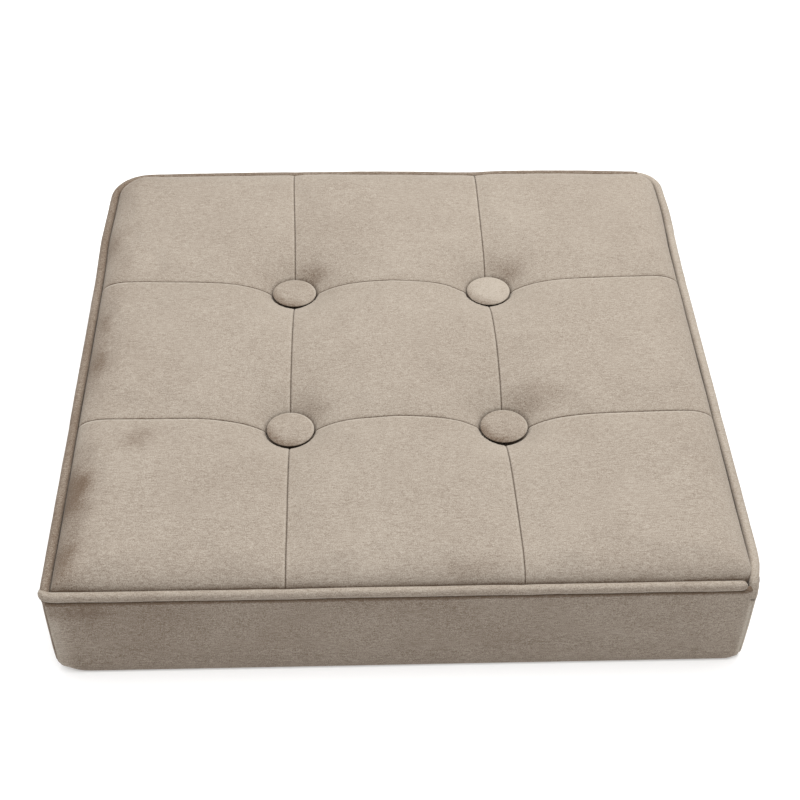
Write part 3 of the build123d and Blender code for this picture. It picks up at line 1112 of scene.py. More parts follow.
# ---- the nine top panels ---------------------------------------------------------------------
@dataclass
class TopPanels:
    """The pieced top: nine panels whose edges roll down into the seams between them."""

    shape: TopShape
    pulls: Pulls
    finishes: Finishes
    thickness: float = 1.0
    shoulder: float = 0.95
    stitch_pitch: float = 3.4
    step: float = 1.5
    usual_width: float = 130.0
    flange: float = 2.6
    rim_flange: float = 6.0
    allowance: float = 8.0
    # painted highlight on the fold at a panel's left, right, front and back edge; below nought, painted
    # shade
    painted_fold_highlight: tuple[float, float, float, float] = (0.04, 0.12, -0.08, 0.34)

    def stations(self, low: float, high: float, rims: tuple[Rim, Rim]) -> np.ndarray:
        """Places across a panel, close together near its edges.

        Args:
            low: One edge.
            high: The other edge.
            rims: What the two edges meet.

        Returns:
            Increasing places from edge to edge.
        """
        near = {
            Rim.SEAM: np.array([0, 0.06, 0.16, 0.3, 0.5, 0.75, 1.05, 1.5, 2.1, 3.0, 4.2]),
            Rim.PIPING: np.array([0, 0.06, 0.2, 0.45, 0.8, 1.3, 1.9, 2.7, 3.6, 4.8]),
        }
        first, last = low + near[rims[0]], high - near[rims[1]][::-1]
        count = max(int(round((last[0] - first[-1]) / self.step)), 2)
        return np.concatenate([first, np.linspace(first[-1], last[0], count + 1)[1:-1], last])

    def shoulder_drop(self, distance: np.ndarray, along: np.ndarray, seed: int) -> np.ndarray:
        """How far the velvet has rolled down this close to a seam, pinched at each stitch.

        Args:
            distance: How far from the seam.
            along: Place along the seam.
            seed: Fixes the unevenness.

        Returns:
            Millimetres down.
        """
        pinch = 0.5 + 0.5 * np.cos(2 * np.pi * along / self.stitch_pitch)
        wander = 1 + 0.22 * soft_noise(along, 0 * along + seed, 9, seed)
        radius = self.shoulder * (0.86 + 0.34 * pinch) * wander
        t = np.clip(distance / radius, 0, 1)
        return radius * (1 - np.sqrt(np.maximum(1 - (1 - t) ** 2, 0)))

    def nap(self, x: np.ndarray, y: np.ndarray, gaps: Sequence[tuple[np.ndarray, np.ndarray, Rim]]
            ) -> np.ndarray:
        """The shade over a panel, with painted shade in its seams and painted highlights on the folds
        beside them.

        Args:
            x: Places along X in the square plan.
            y: Places along Y.
            gaps: For the left, right, front and back edge, the distance to it, the place along
                it and what it meets.

        Returns:
            How dark the velvet is at each place.
        """
        px, py = self.shape.plan.rounded(x, y)
        nap = Nap.of_top(px, py)
        for middle in self.shape.plan.buttons().values():
            nap = nap + Nap.painted_shade_by_button(x, y, middle)
        for (distance, along, rim), fold in zip(gaps, self.painted_fold_highlight):
            ragged = 1 + 0.5 * soft_noise(along, 0 * along, 5, 77)
            # painted highlight on the fold beside the edge
            nap = nap - fold * ragged * np.exp(-(((distance - 1.1) / 0.8) ** 2))
            # painted shade down in a seam, and against the piping at the rim
            width = 0.34 if rim is Rim.SEAM else 0.55
            nap = nap + 0.75 * np.exp(-((distance / width) ** 2))
        return nap

    def build_panel(self, row: Row, column: Column) -> bpy.types.Object:
        """Build one panel.

        Args:
            row: The panel's row.
            column: The panel's column.

        Returns:
            The finished panel.
        """
        plan = self.shape.plan
        edge_x, edge_y = plan.half_width - self.shape.inset, plan.half_depth - self.shape.inset
        y_low = {Row.FRONT: -edge_y, Row.MIDDLE: -plan.seam_y, Row.BACK: plan.seam_y}[row]
        y_high = {Row.FRONT: -plan.seam_y, Row.MIDDLE: plan.seam_y, Row.BACK: edge_y}[row]
        y_rims = (
            Rim.PIPING if row is Row.FRONT else Rim.SEAM,
            Rim.PIPING if row is Row.BACK else Rim.SEAM,
        )
        x_rims = (
            Rim.PIPING if column is Column.LEFT else Rim.SEAM,
            Rim.PIPING if column is Column.RIGHT else Rim.SEAM,
        )
        ys = self.stations(y_low, y_high, y_rims)
        unit = self.stations(0.0, self.usual_width, x_rims) / self.usual_width
        y = np.repeat(ys[:, None], len(unit), 1)
        x_low = -edge_x if column is Column.LEFT else plan.seam_line(column is Column.CENTRE, y)
        x_high = edge_x if column is Column.RIGHT else plan.seam_line(column is Column.LEFT, y)
        x = x_low + (x_high - x_low) * unit[None, :]
        z = self.shape.height(x, y) + self.pulls.at(x, y)
        seed = 40 + 3 * row.value + column.value
        drops = [np.zeros_like(z)]
        gaps = (
            (x - x_low, y, x_rims[0]),
            (x_high - x, y, x_rims[1]),
            (y - y_low, x, y_rims[0]),
            (y_high - y, x, y_rims[1]),
        )
        for distance, along, rim in gaps:
            if rim is Rim.SEAM:
                drops.append(self.shoulder_drop(distance, along, seed))
        z = z - np.maximum.reduce(drops)
        nap = self.nap(x, y, gaps)
        x, y, z, nap = (np.pad(values, 1, mode="edge") for values in (x, y, z, nap))
        # the edge rows turn down into the seams and under the rim, and are painted fully dark as shade
        for rows, rim in (((slice(None), 0), x_rims[0]), ((slice(None), -1), x_rims[1]),
                          ((0, slice(None)), y_rims[0]), ((-1, slice(None)), y_rims[1])):
            z[rows] -= self.flange if rim is Rim.SEAM else self.rim_flange
            nap[rows] = 1
        px, py = plan.rounded(x, y)
        name = f"top_panel_{row.name}_{column.name}".lower()
        piece = mesh_piece(f"{name}_velvet", np.stack([px, py, z], -1), grid_faces(*x.shape))
        point_values(piece, "nap", nap)
        weld(piece, 0.004)
        thicken(piece, self.thickness)
        self.finishes.dress(piece, "taupe_velvet")
        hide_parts(name)
        width, depth = float(np.ptp(px)) + 2 * self.allowance, float(np.ptp(py)) + 2 * self.allowance
        return piece

    def build(self) -> None:
        """Build all nine panels."""
        for row in Row:
            for column in Column:
                report(self.build_panel(row, column))

    def seam_path(self, across: bool, which: int, stop: float = 2.0) -> np.ndarray:
        """The valley of one whole seam, from rim to rim.

        Args:
            across: True for a seam that runs left to right.
            which: -1 for the front or left seam, 1 for the back or right one.
            stop: How far in from the panels' rim it ends.

        Returns:
            Points in millimetres, a millimetre apart.
        """
        plan = self.shape.plan
        reach = (plan.half_width if across else plan.half_depth) - self.shape.inset - stop
        along = np.arange(-reach, reach, 1.0)
        if across:
            x, y = along, np.full_like(along, which * plan.seam_y)
        else:
            x, y = plan.seam_line(which < 0, along), along
        z = self.shape.height(x, y) + self.pulls.at(x, y) - 0.62 * self.shoulder
        return np.stack([x, y, z], -1)


# ---- stitches --------------------------------------------------------------------------------
@dataclass
class SeamStitches:
    """Thread that shows in the valleys of the seams, one short float per stitch."""

    panels: TopPanels
    finishes: Finishes
    pitch: float = 3.4
    length: float = 2.1
    thread: float = 0.5
    seed: int = 5

    def tree(self) -> bpy.types.NodeTree:
        """Build the node group that lays stitches along the edges of a mesh.

        Returns:
            The node group, with its sizes as named inputs in metres.
        """
        tree = bpy.data.node_groups.new("lay_stitches", "GeometryNodeTree")
        inputs = {"Geometry": "Geometry", "Pitch": "Float", "Length": "Float", "Thread": "Float",
                  "Seed": "Int", "Material": "Material"}
        for name, kind in inputs.items():
            tree.interface.new_socket(name, in_out="INPUT", socket_type=f"NodeSocket{kind}")
        tree.interface.new_socket("Geometry", in_out="OUTPUT", socket_type="NodeSocketGeometry")
        add = tree.nodes.new
        given, result = add("NodeGroupInput"), add("NodeGroupOutput")
        curve = add("GeometryNodeMeshToCurve")
        points = add("GeometryNodeCurveToPoints")
        points.mode = "LENGTH"
        turn = add("FunctionNodeAlignRotationToVector")
        turn.axis = "Z"
        bead = add("GeometryNodeMeshUVSphere")
        bead.inputs["Segments"].default_value = 8
        bead.inputs["Rings"].default_value = 6
        bead.inputs["Radius"].default_value = 0.5
        jitter = add("FunctionNodeRandomValue")
        jitter.data_type = "FLOAT_VECTOR"
        stray = Vector((0.00008, 0.00008, 0.0001))
        jitter.inputs[0].default_value, jitter.inputs[1].default_value = -stray, stray
        shift = add("GeometryNodeSetPosition")
        size = add("ShaderNodeCombineXYZ")
        place = add("GeometryNodeInstanceOnPoints")
        real = add("GeometryNodeRealizeInstances")
        paint = add("GeometryNodeSetMaterial")
        wires = (
            (given, "Geometry", curve, "Mesh"),
            (curve, "Curve", points, "Curve"),
            (given, "Pitch", points, "Length"),
            (points, "Tangent", turn, "Vector"),
            (points, "Points", shift, "Geometry"),
            (given, "Seed", jitter, "Seed"),
            (jitter, 0, shift, "Offset"),
            (shift, "Geometry", place, "Points"),
            (bead, "Mesh", place, "Instance"),
            (turn, "Rotation", place, "Rotation"),
            (given, "Thread", size, "X"),
            (given, "Thread", size, "Y"),
            (given, "Length", size, "Z"),
            (size, 0, place, "Scale"),
            (place, "Instances", real, "Geometry"),
            (real, "Geometry", paint, "Geometry"),
            (given, "Material", paint, "Material"),
            (paint, "Geometry", result, "Geometry"),
        )
        for source, out, target, into in wires:
            tree.links.new(source.outputs[out], target.inputs[into])
        return tree

    def build(self) -> bpy.types.Object:
        """Lay the stitches of all four seams.

        Returns:
            One mesh of them all.
        """
        points, edges = [], []
        buttons = self.panels.shape.plan.buttons().values()
        for across in (True, False):
            for which in (-1, 1):
                path = self.panels.seam_path(across, which)
                for a, b in zip(path[:-1], path[1:]):
                    if all(math.hypot(a[0] - bx, a[1] - by) > 14.0 for bx, by in buttons):
                        edges.append((len(points), len(points) + 1))
                        points += [a, b]
        piece = mesh_piece("seam_stitches", np.array(points), [])
        work = bmesh.new()
        work.from_mesh(piece.data)
        work.verts.ensure_lookup_table()
        for a, b in edges:
            work.edges.new((work.verts[a], work.verts[b]))
        bmesh.ops.remove_doubles(work, verts=work.verts, dist=1e-6)
        work.to_mesh(piece.data)
        work.free()
        tree = self.tree()
        laid = piece.modifiers.new("stitches", "NODES")
        laid.node_group = tree
        values = {"Pitch": self.pitch * MM, "Length": self.length * MM, "Thread": self.thread * MM,
                  "Seed": self.seed, "Material": self.finishes.seam_thread}
        for item in tree.interface.items_tree:
            if item.in_out == "INPUT" and item.name in values:
                laid[item.identifier] = values[item.name]
        apply_modifiers(piece)
        piece.data.polygons.foreach_set("use_smooth", [True] * len(piece.data.polygons))
        self.finishes.dress(piece, "taupe_velvet", self.finishes.seam_thread)
        report(piece)
        return piece


# ---- the boxing ------------------------------------------------------------------------------
@dataclass
class Boxing:
    """Four upright strips, rolled under the piping at the top and wrapped under the board."""

    plan: Plan
    finishes: Finishes
    thickness: float = 1.2
    face_inset: float = 0.9
    foot_inset: float = 0.9
    top: float = 63.6
    bottom: float = 0.55
    bulge: float = 0.35
    margin: float = 35.0
    roll: float = 2.2
    roll_reach: float = 9.0
    ridge_place: float = 2.2
    ridge_reach: float = 1.6
    tuck: float = 1.25
    # base shade of the front, right, back and left strip; the front and left are darker partly as painted
    # shade, turned from the key light
    nap: dict[Side, float] = field(default_factory=lambda: dict(zip(Side, (0.61, 0.50, 0.50, 0.66))))
    radii: dict[Corner, float] = by_corner(6.0, 13.0, 26.0, 20.0)
    corner_roll: dict[Corner, float] = by_corner(10.0, 3.0, 5.5, 5.5)
    ridge: dict[Corner, float] = by_corner(0.1, 0.9, 0.3, 0.5)

    @staticmethod
    def section() -> np.ndarray:
        """The strip's run from its tucked top edge to its inner hem.

        Returns:
            Rows of (stage, share): stage 0 is the tuck under the piping, 1 the wall, 2 the
            roll at the bottom and 3 the margin under the board.
        """
        counts = (6, 45, 9, 15)
        rows = [(stage, k / count) for stage, count in enumerate(counts) for k in range(count)]
        return np.array([*rows, (len(counts) - 1, 1)])

    def build_strip(self, side: Side) -> bpy.types.Object:
        """Build one strip.

        Args:
            side: The side of the pad that it covers.

        Returns:
            The finished strip.
        """
        near = np.array([0, 0.05, 0.15, 0.3, 0.5, 0.8, 1.2, 1.8, 2.6, 3.6, 5.0]) / 200.0
        half = np.concatenate([near, np.linspace(near[-1], 1.0, 76)[1:]])
        sigma = np.concatenate([half - 1.0, (1.0 - half)[::-1][1:]])
        stage, share = self.section().T
        s, sig = np.meshgrid(share, sigma, indexing="ij")
        st = np.repeat(stage[:, None], len(sigma), 1)
        corners = {
            Side.FRONT: (Corner.FRONT_LEFT, Corner.FRONT_RIGHT),
            Side.RIGHT: (Corner.FRONT_RIGHT, Corner.BACK_RIGHT),
            Side.BACK: (Corner.BACK_RIGHT, Corner.BACK_LEFT),
            Side.LEFT: (Corner.BACK_LEFT, Corner.FRONT_LEFT),
        }[side]
        wide, deep = self.plan.halves(side)
        to_start, to_end = (sig + 1) * wide, (1 - sig) * wide
        roll = self.roll + sum(
            (self.corner_roll[corner] - self.roll) * np.exp(-((gap / self.roll_reach) ** 2))
            for corner, gap in zip(corners, (to_start, to_end))
        )
        along = sig * wide
        seed = 60 + side.value // 90 * 5
        wall_top, wall_low = self.top - 1.6, self.bottom + roll
        tuck_turn = s * math.pi / 2
        z_wall = wall_top + (wall_low - wall_top) * s
        level = (z_wall - self.bottom) / (self.top - self.bottom)
        swell = self.bulge * np.sin(np.pi * np.clip(level, 0, 1)) ** 0.8
        waves = 0.28 * soft_noise(along, z_wall, 34, seed) + 0.16 * soft_noise(along, z_wall, 13, seed + 1)
        waves = waves * smooth_step(level, 0.0, 0.2) * smooth_step(1 - level, 0.0, 0.15)
        ridge = sum(
            self.ridge[corner] * np.exp(-(((gap - self.ridge_place) / self.ridge_reach) ** 2))
            for corner, gap in zip(corners, (to_start, to_end))
        )
        out = swell + waves - self.foot_inset * (1 - level)
        inset = np.select(
            [st == 0, st == 1, st == 2, st == 3],
            [
                self.face_inset + 2.6 * (1 - np.sin(tuck_turn)),
                self.face_inset - out - ridge,
                self.face_inset + self.foot_inset - ridge * (1 - s) + roll * (1 - np.cos(tuck_turn)),
                self.face_inset + self.foot_inset + roll + (self.margin - roll) * s,
            ],
        )
        z = np.select(
            [st == 0, st == 1, st == 2, st == 3],
            [
                self.top + 0.4 - 2.0 * (1 - np.cos(tuck_turn)),
                z_wall,
                self.bottom + roll * (1 - np.sin(tuck_turn)),
                self.bottom + 0.25 * s,
            ],
        )
        edge = np.minimum(to_start, to_end)
        near_edge = 1 - np.clip(edge / self.tuck, 0, 1)
        tuck = self.tuck * (1 - np.sqrt(np.maximum(1 - near_edge**2, 0)))
        inset = np.where(st == 3, inset, inset + tuck)
        z = np.where(st == 3, z + 0.3 * tuck, z)
        px, py = self.plan.rounded(*side.turned(sig * (wide - inset), inset - deep), self.radii)
        points = np.stack([px, py, z], -1)
        piece = mesh_piece(f"boxing_{side.word}_velvet", points, grid_faces(*px.shape))
        nap = Nap.of_strip(along, z, self.nap[side], seed + 2)
        if side is Side.FRONT:
            nap = nap + 0.04 * smooth_step(-along, 40, 180) - 0.05 * smooth_step(along, 60, 190)
            # painted shadow under the piping near the front-left corner
            nap = nap + 0.22 * np.exp(-(((along + 176) / 16) ** 2) - ((z - 56) / 7) ** 2)
            # painted highlight low on the front-left corner seam
            nap = nap - 0.26 * np.exp(-(((to_start - 5) / 5) ** 2)) * smooth_step(60 - z, 4, 16)
        # painted highlight on the ridges at the corner seams, and painted shade down in the seams at the
        # strip's ends
        nap = nap - 0.9 * ridge + 0.6 * np.exp(-((edge / 0.4) ** 2))
        # painted shade: the tuck under the piping fully dark, and the wall just under the piping darker
        nap = np.where(st == 0, 1.0, nap + 0.35 * smooth_step(z, wall_top - 1.2, wall_top) * (st == 1))
        point_values(piece, "nap", nap)
        self.turn_out(piece)
        weld(piece, 0.002)
        thicken(piece, self.thickness)
        self.finishes.dress(piece, "taupe_velvet")
        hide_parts(f"boxing_{side.word}")
        return piece

    @staticmethod
    def turn_out(piece: bpy.types.Object) -> None:
        """Flip a strip's faces if its wall faces inwards.

        Args:
            piece: The strip.
        """
        mesh = piece.data
        total = sum(Vector((p.center.x, p.center.y, 0)).dot(p.normal) * p.area for p in mesh.polygons)
        if total < 0:
            mesh.flip_normals()

    def build(self) -> None:
        """Build all four strips."""
        for side in Side:
            report(self.build_strip(side))


# ---- the piping ------------------------------------------------------------------------------
@dataclass
class Piping:
    """Four lengths of velvet piping, laid along the rim and tucked into each other."""

    plan: Plan
    finishes: Finishes
    step: float = 1.2
    sides: int = 20
    cord_radius: float = 1.9
    seam_dip: float = 0.3
    # in from the side, in from the front, and down, along the ends that run over a front corner
    left_dive: tuple[tuple[float, float, float], ...] = (
        (2.9, 9.0, 0.0), (3.0, 7.0, 0.5), (3.3, 5.2, 2.0), (3.6, 4.2, 4.2), (3.8, 3.8, 7.0),
    )
    front_wrap: tuple[tuple[float, float, float], ...] = (
        (2.0, 10.5, 2.2), (1.7, 7.6, 1.2), (2.3, 5.2, 0.5), (4.0, 3.5, 0.1),
    )
    right_dive: tuple[tuple[float, float, float], ...] = (
        (2.9, 25.0, 0.0), (3.3, 18.5, 0.0), (4.6, 12.0, 0.4), (5.8, 7.2, 1.8), (5.8, 4.8, 5.0),
        (5.5, 4.0, 9.0), (5.5, 4.0, 14.0), (6.0, 4.3, 19.0),
    )

    def run(self, side: Side, start: float, end: float) -> np.ndarray:
        """Middle line along one side, between two places measured from the side's middle.

        Args:
            side: The side of the pad.
            start: First place, from the middle, to the left as seen from outside.
            end: Last place.

        Returns:
            Points in millimetres.
        """
        inset = self.plan.piping_radius
        wide, deep = self.plan.halves(side)
        along = np.linspace(start, end, int(abs(end - start) / self.step) + 2)
        corner = wide - inset
        inside = np.clip(along, -corner, corner)
        over = along - inside
        px, py = self.plan.rounded(*side.turned(inside, -(deep - inset) + np.abs(over)))
        seed = 90 + side.value // 30
        z = self.plan.piping_height + 0.22 * soft_noise(along, 0 * along, 40, seed)
        for seam in (-1, 1):
            z = z - self.seam_dip * np.exp(-(((along - seam * self.plan.seam_x) / 7) ** 2))
        shift = 0.2 * soft_noise(along, 0 * along + 5, 33, seed + 1)
        length = np.maximum(np.hypot(px, py), 1)
        return np.stack([px + shift * px / length, py + shift * py / length, z], -1)

    def radii(self, count: int, seed: int, tips: tuple[float, float]) -> np.ndarray:
        """Radius along a length, slightly uneven, rounded off at its ends.

        Args:
            count: Number of points.
            seed: Fixes the unevenness.
            tips: How many points each end takes to round off; 0 keeps it full.

        Returns:
            One radius for each point.
        """
        s = np.arange(count) * self.step
        radius = self.plan.piping_radius * (
            1 + 0.022 * soft_noise(s, 0 * s, 7, seed) + 0.03 * soft_noise(s, 0 * s + 3, 24, seed + 1)
        )
        for tip, order in ((tips[0], 1), (tips[1], -1)):
            if tip > 0:
                t = np.clip(np.arange(count)[::order] / tip, 0, 1)
                radius = radius * np.sqrt(np.maximum(1 - (1 - t) ** 2, 0.02))
        return radius

    def corner_end(self, side_sign: int, route: tuple[tuple[float, float, float], ...]) -> np.ndarray:
        """The end of a length that runs round or down a front corner.

        Args:
            side_sign: -1 for the left corner and 1 for the right one.
            route: Its points, as in from the side, in from the front, and down.

        Returns:
            Points in millimetres, in the route's order.
        """
        across, deep, fall = np.array(route).T
        t = np.linspace(0, len(across) - 1, 4 * len(across))
        step = np.arange(len(across))
        x = side_sign * (self.plan.half_width - np.interp(t, step, across))
        y = np.interp(t, step, deep) - self.plan.half_depth
        return np.stack([x, y, self.plan.piping_height - np.interp(t, step, fall)], -1)

    def smooth(self, points: np.ndarray) -> np.ndarray:
        """Even out a path and space its points equally.

        Args:
            points: The path.

        Returns:
            The smoothed path, with a point at each step.
        """
        for _ in range(3):
            points[1:-1] = 0.25 * points[:-2] + 0.5 * points[1:-1] + 0.25 * points[2:]
        gone = np.concatenate([[0], np.cumsum(np.linalg.norm(np.diff(points, axis=0), axis=1))])
        even = np.linspace(0, gone[-1], int(gone[-1] / self.step) + 1)
        return np.stack([np.interp(even, gone, points[:, k]) for k in range(3)], -1)

    def build_length(self, side: Side) -> bpy.types.Object:
        """Build the piping of one side.

        Args:
            side: The side of the pad.

        Returns:
            The finished length.
        """
        wide = self.plan.half_width
        # each length's base shade: the left and back lengths are painted darker and the right one lighter,
        # as painted shade and light from the key at the back right
        if side is Side.FRONT:
            run = self.run(side, -wide + 6.5, wide - 9.0)
            path, tips, nap = np.vstack([self.corner_end(-1, self.front_wrap), run]), (3, 3), 0.50
        elif side is Side.RIGHT:
            run = self.run(side, -wide + 26.5, wide + 11.0)
            path, tips, nap = np.vstack([self.corner_end(1, self.right_dive)[::-1], run]), (14, 2), 0.36
        elif side is Side.BACK:
            path, tips, nap = self.run(side, -wide + 13.0, wide + 2.0), (1, 0), 0.92
        else:
            run = self.run(side, -wide - 1.6, wide - 9.5)
            path, tips, nap = np.vstack([run, self.corner_end(-1, self.left_dive)]), (1, 5), 0.92
        path = self.smooth(path)
        seed = 70 + side.value // 30
        radii = self.radii(len(path), seed, tips)
        if side is Side.BACK:
            radii[-6:] *= 0.9
        piece = tube(f"piping_{side.word}_velvet", path, radii)
        places = np.array([v.co for v in piece.data.vertices]) / MM
        values = Nap.of_strip(places[:, 0] + places[:, 1], places[:, 2], nap, seed + 4)
        middle = np.concatenate([np.repeat(path[:, 2], self.sides), path[[0, -1], 2]])
        up = (places[:, 2] - middle) / self.plan.piping_radius
        # painted shade on the piping's underside and a painted highlight along its top
        values = values + 0.5 * smooth_step(-up, 0.45, 0.95) - 0.16 * smooth_step(up, 0.5, 1.0)
        point_values(piece, "nap", values)
        self.finishes.dress(piece, "taupe_velvet")
        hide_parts(f"piping_cover_{side.word}")
        self.build_cord(side, path[3:-3])
        return piece

    def build_cord(self, side: Side, path: np.ndarray) -> None:
        """Build the cord inside one length, along the same path.

        Args:
            side: The side of the pad.
            path: The cord's middle line.
        """
        radii = np.full(len(path), self.cord_radius)
        radii[0], radii[-1] = 0.8 * self.cord_radius, 0.8 * self.cord_radius
        cord = tube(f"piping_{side.word}_filler", path, radii, 14)
        self.finishes.dress(cord, "cotton_cord")
        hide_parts(f"piping_cord_{side.word}")

    def build(self) -> None:
        """Build all four lengths."""
        for side in Side:
            report(self.build_length(side))


# ---- covered buttons -------------------------------------------------------------------------
@dataclass
class CoveredButtons:
    """Four domed buttons covered in the same velvet, gathered under their rims."""

    plan: Plan
    finishes: Finishes
    radius: float = 14.45
    cloth: float = 0.9
    # painted highlight and painted shade on each button's rim
    painted_rim_highlight: float = 0.45
    painted_rim_shade: float = 0.42
    around: int = 96
    nap: dict[Corner, float] = by_corner(0.38, 0.44, 0.38, 0.12)
    tilt: dict[Corner, tuple[float, float]] = by_corner((0.6, -1.2), (-0.8, 0.8), (-1.4, -0.8), (0.8, 1.2))

    def profile(self, back: float, rim: float, top: float) -> np.ndarray:
        """Half section of the cloth, from the middle of the top round to the back.

        Args:
            back: Height of the back.
            rim: Height of the widest part.
            top: Height of the middle of the top.

        Returns:
            Rows of (distance out, height).
        """
        shoulder = 0.8 + 0.2 * np.sin(np.linspace(0, np.pi / 2, 12))[1:]
        out = np.concatenate([np.linspace(0, 0.8, 14), shoulder])
        crown = rim + (top - rim) * (1 - out**2.6) ** 0.62
        over = np.stack([out * self.radius, crown], -1)
        under_out = np.linspace(1, 0.62, 10)[1:]
        fall = ((1 - under_out) / 0.38) ** 0.7
        under = np.stack([under_out * self.radius, rim - (rim - back) * fall], -1)
        return np.vstack([over, under])

    def build_button(self, corner: Corner) -> bpy.types.Object:
        """Build one button's cover.

        Args:
            corner: The button's place.

        Returns:
            The finished cover.
        """
        low, high = box_of(f"button_cover_{corner.word}")
        middle = (low + high) / 2
        back, top = low[2], high[2]
        rim = back + 0.55 * (top - back)
        profile = self.profile(back, rim, top)
        turn = np.linspace(0, 2 * np.pi, self.around, endpoint=False)
        out, height = profile[:, 0][:, None], profile[:, 1][:, None]
        seed = 120 + 7 * list(Corner).index(corner)
        gathers = np.sin(turn * 17 + seed) * 0.5 + np.sin(turn * 29 + 2 * seed) * 0.5
        below = np.clip((rim + 0.2 - height) / (rim - back), 0, 1)
        x, y = out * np.cos(turn), out * np.sin(turn)
        dimple = 0.16 * soft_noise(x + seed, y, 9, seed) + 0.07 * soft_noise(x + seed, y, 4, seed + 1)
        lift = dimple * np.clip(1 - out / self.radius, 0, 1) ** 0.5 + 0.25 * below * gathers[None, :]
        wobble = 1 + 0.006 * np.sin(2 * turn + seed) + 0.004 * np.sin(3 * turn + 2 * seed)
        lean_x, lean_y = (math.radians(a) for a in self.tilt[corner])
        z = height + lift + x * math.tan(lean_y) + y * math.tan(lean_x)
        points = np.stack([middle[0] + x * wobble, middle[1] + y * wobble, z], -1)
        piece = mesh_piece(f"button_cover_{corner.word}_velvet", points, grid_faces(*x.shape, closed=True))
        weld(piece, 0.003)
        face_up = sum(p.normal.z * p.area for p in piece.data.polygons if p.center.z > rim * MM)
        if face_up < 0:
            piece.data.flip_normals()
        thicken(piece, self.cloth)
        places = np.array([v.co for v in piece.data.vertices]) / MM - middle
        far = np.hypot(places[:, 0], places[:, 1]) / self.radius
        lean = (places[:, 0] * 0.6 + places[:, 1] * 0.8) / self.radius
        # painted highlight on the upper right of the rim, painted shade over the lower left, as from the
        # key at the back right
        painted_rim_highlight = -self.painted_rim_highlight * smooth_step(lean, 0.1, 0.9) * smooth_step(far, 0.86, 0.97)
        shade = self.painted_rim_shade * smooth_step(-lean, 0.1, 1.0) * smooth_step(far, 0.45, 1.0)
        # painted shade under the rim
        below = 0.5 * smooth_step(rim - middle[2] - places[:, 2], 0.0, 1.2)
        grain = 0.05 * soft_noise(places[:, 0] + seed, places[:, 1], 6, seed + 3)
        point_values(piece, "nap", self.nap[corner] + painted_rim_highlight + shade + below + grain)
        self.finishes.dress(piece, "taupe_velvet")
        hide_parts(f"button_cover_{corner.word}")
        return piece

    def build(self) -> None:
        """Build all four covers."""
        for corner in Corner:
            report(self.build_button(corner))


# ---- wadding and foam ------------------------------------------------------------------------
@dataclass
class Stuffing:
    """The wadding batt and the foam block under the velvet."""

    shape: TopShape
    finishes: Finishes
    step: float = 4.0
    levels: int = 12
    batt_thickness: float = 2.6
    rim_sink: float = 7.5
    rim_width: float = 6.2
    rim_slope: float = 2.2

    def block(self, name: str, inset: float, below: float, low: float, seed: int, closed: bool
              ) -> bpy.types.Object:
        """A pad that follows the top from underneath.

        Args:
            name: The piece's name.
            inset: How far in its sides stand from the pad's outline.
            below: How far its top lies under the velvet's face.
            low: Height of its lower edge.
            seed: Fixes its unevenness.
            closed: Whether it has a bottom.

        Returns:
            The mesh piece.
        """
        plan = self.shape.plan
        half_x, half_y = plan.half_width - inset, plan.half_depth - inset
        count = int(2 * half_x / self.step)
        x, y = np.meshgrid(np.linspace(-half_x, half_x, count + 1), np.linspace(-half_y, half_y, count + 1))
        reach_x, reach_y = plan.half_width - self.shape.inset, plan.half_depth - self.shape.inset
        in_x, in_y = x * min(1, (reach_x - 0.2) / half_x), y * min(1, (reach_y - 0.2) / half_y)
        z = self.shape.height(in_x, in_y) - below + 0.25 * soft_noise(x, y, 11, seed)
        z = np.minimum(z, self.rim_limit(x, y))
        rim = np.concatenate([np.arange(count + 1), (np.arange(1, count + 1) + 1) * (count + 1) - 1,
                              (count + 1) ** 2 - 2 - np.arange(count),
                              (count - 1 - np.arange(count - 1)) * (count + 1)])
        px, py = plan.rounded(x, y)
        top = np.stack([px, py, z], -1).reshape(-1, 3)
        walls, faces = [], grid_faces(*x.shape)
        ring, total = len(rim), len(top)
        for k in range(1, self.levels + 1):
            row = top[rim].copy()
            t = k / self.levels
            row[:, 2] = row[:, 2] + (low - row[:, 2]) * t
            pull_in = 0.35 * math.sin(math.pi * t)
            row[:, :2] *= 1 - pull_in / plan.half_width
            walls.append(row)
        points = np.vstack([top, *walls])
        for k in range(self.levels):
            for r in range(ring):
                s = (r + 1) % ring
                below = total + k * ring
                upper = (rim[r], rim[s]) if k == 0 else (below - ring + r, below - ring + s)
                faces.append((upper[0], below + r, below + s, upper[1]))
        if closed:
            faces.append(tuple(total + (self.levels - 1) * ring + r for r in range(ring - 1, -1, -1)))
        return mesh_piece(name, points, faces)

    def rim_limit(self, x: np.ndarray, y: np.ndarray) -> np.ndarray:
        """The height that the stuffing stays under near the piping.

        Args:
            x: Places along X in the square plan.
            y: Places along Y, of the same shape.

        Returns:
            Millimetres at each place.
        """
        plan = self.shape.plan
        inward = np.minimum(plan.half_width - np.abs(x), plan.half_depth - np.abs(y))
        return plan.piping_height - self.rim_sink + np.maximum(inward - self.rim_width, 0) * self.rim_slope

    def build(self) -> None:
        """Build the wadding and the foam."""
        board_low, board_high = box_of("base_board")
        batt = self.block("wadding_batt", 3.9, 3.4, board_low[2] + 0.4, 33, closed=False)
        thicken(batt, self.batt_thickness)
        self.finishes.dress(batt, "polyester_wadding")
        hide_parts("wadding")
        foam = self.block("foam_block", 7.2, 9.6, board_high[2] + 0.2, 34, closed=True)
        self.finishes.dress(foam, "seat_foam")
        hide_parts("foam_core")
        for piece in (batt, foam):
            report(piece)


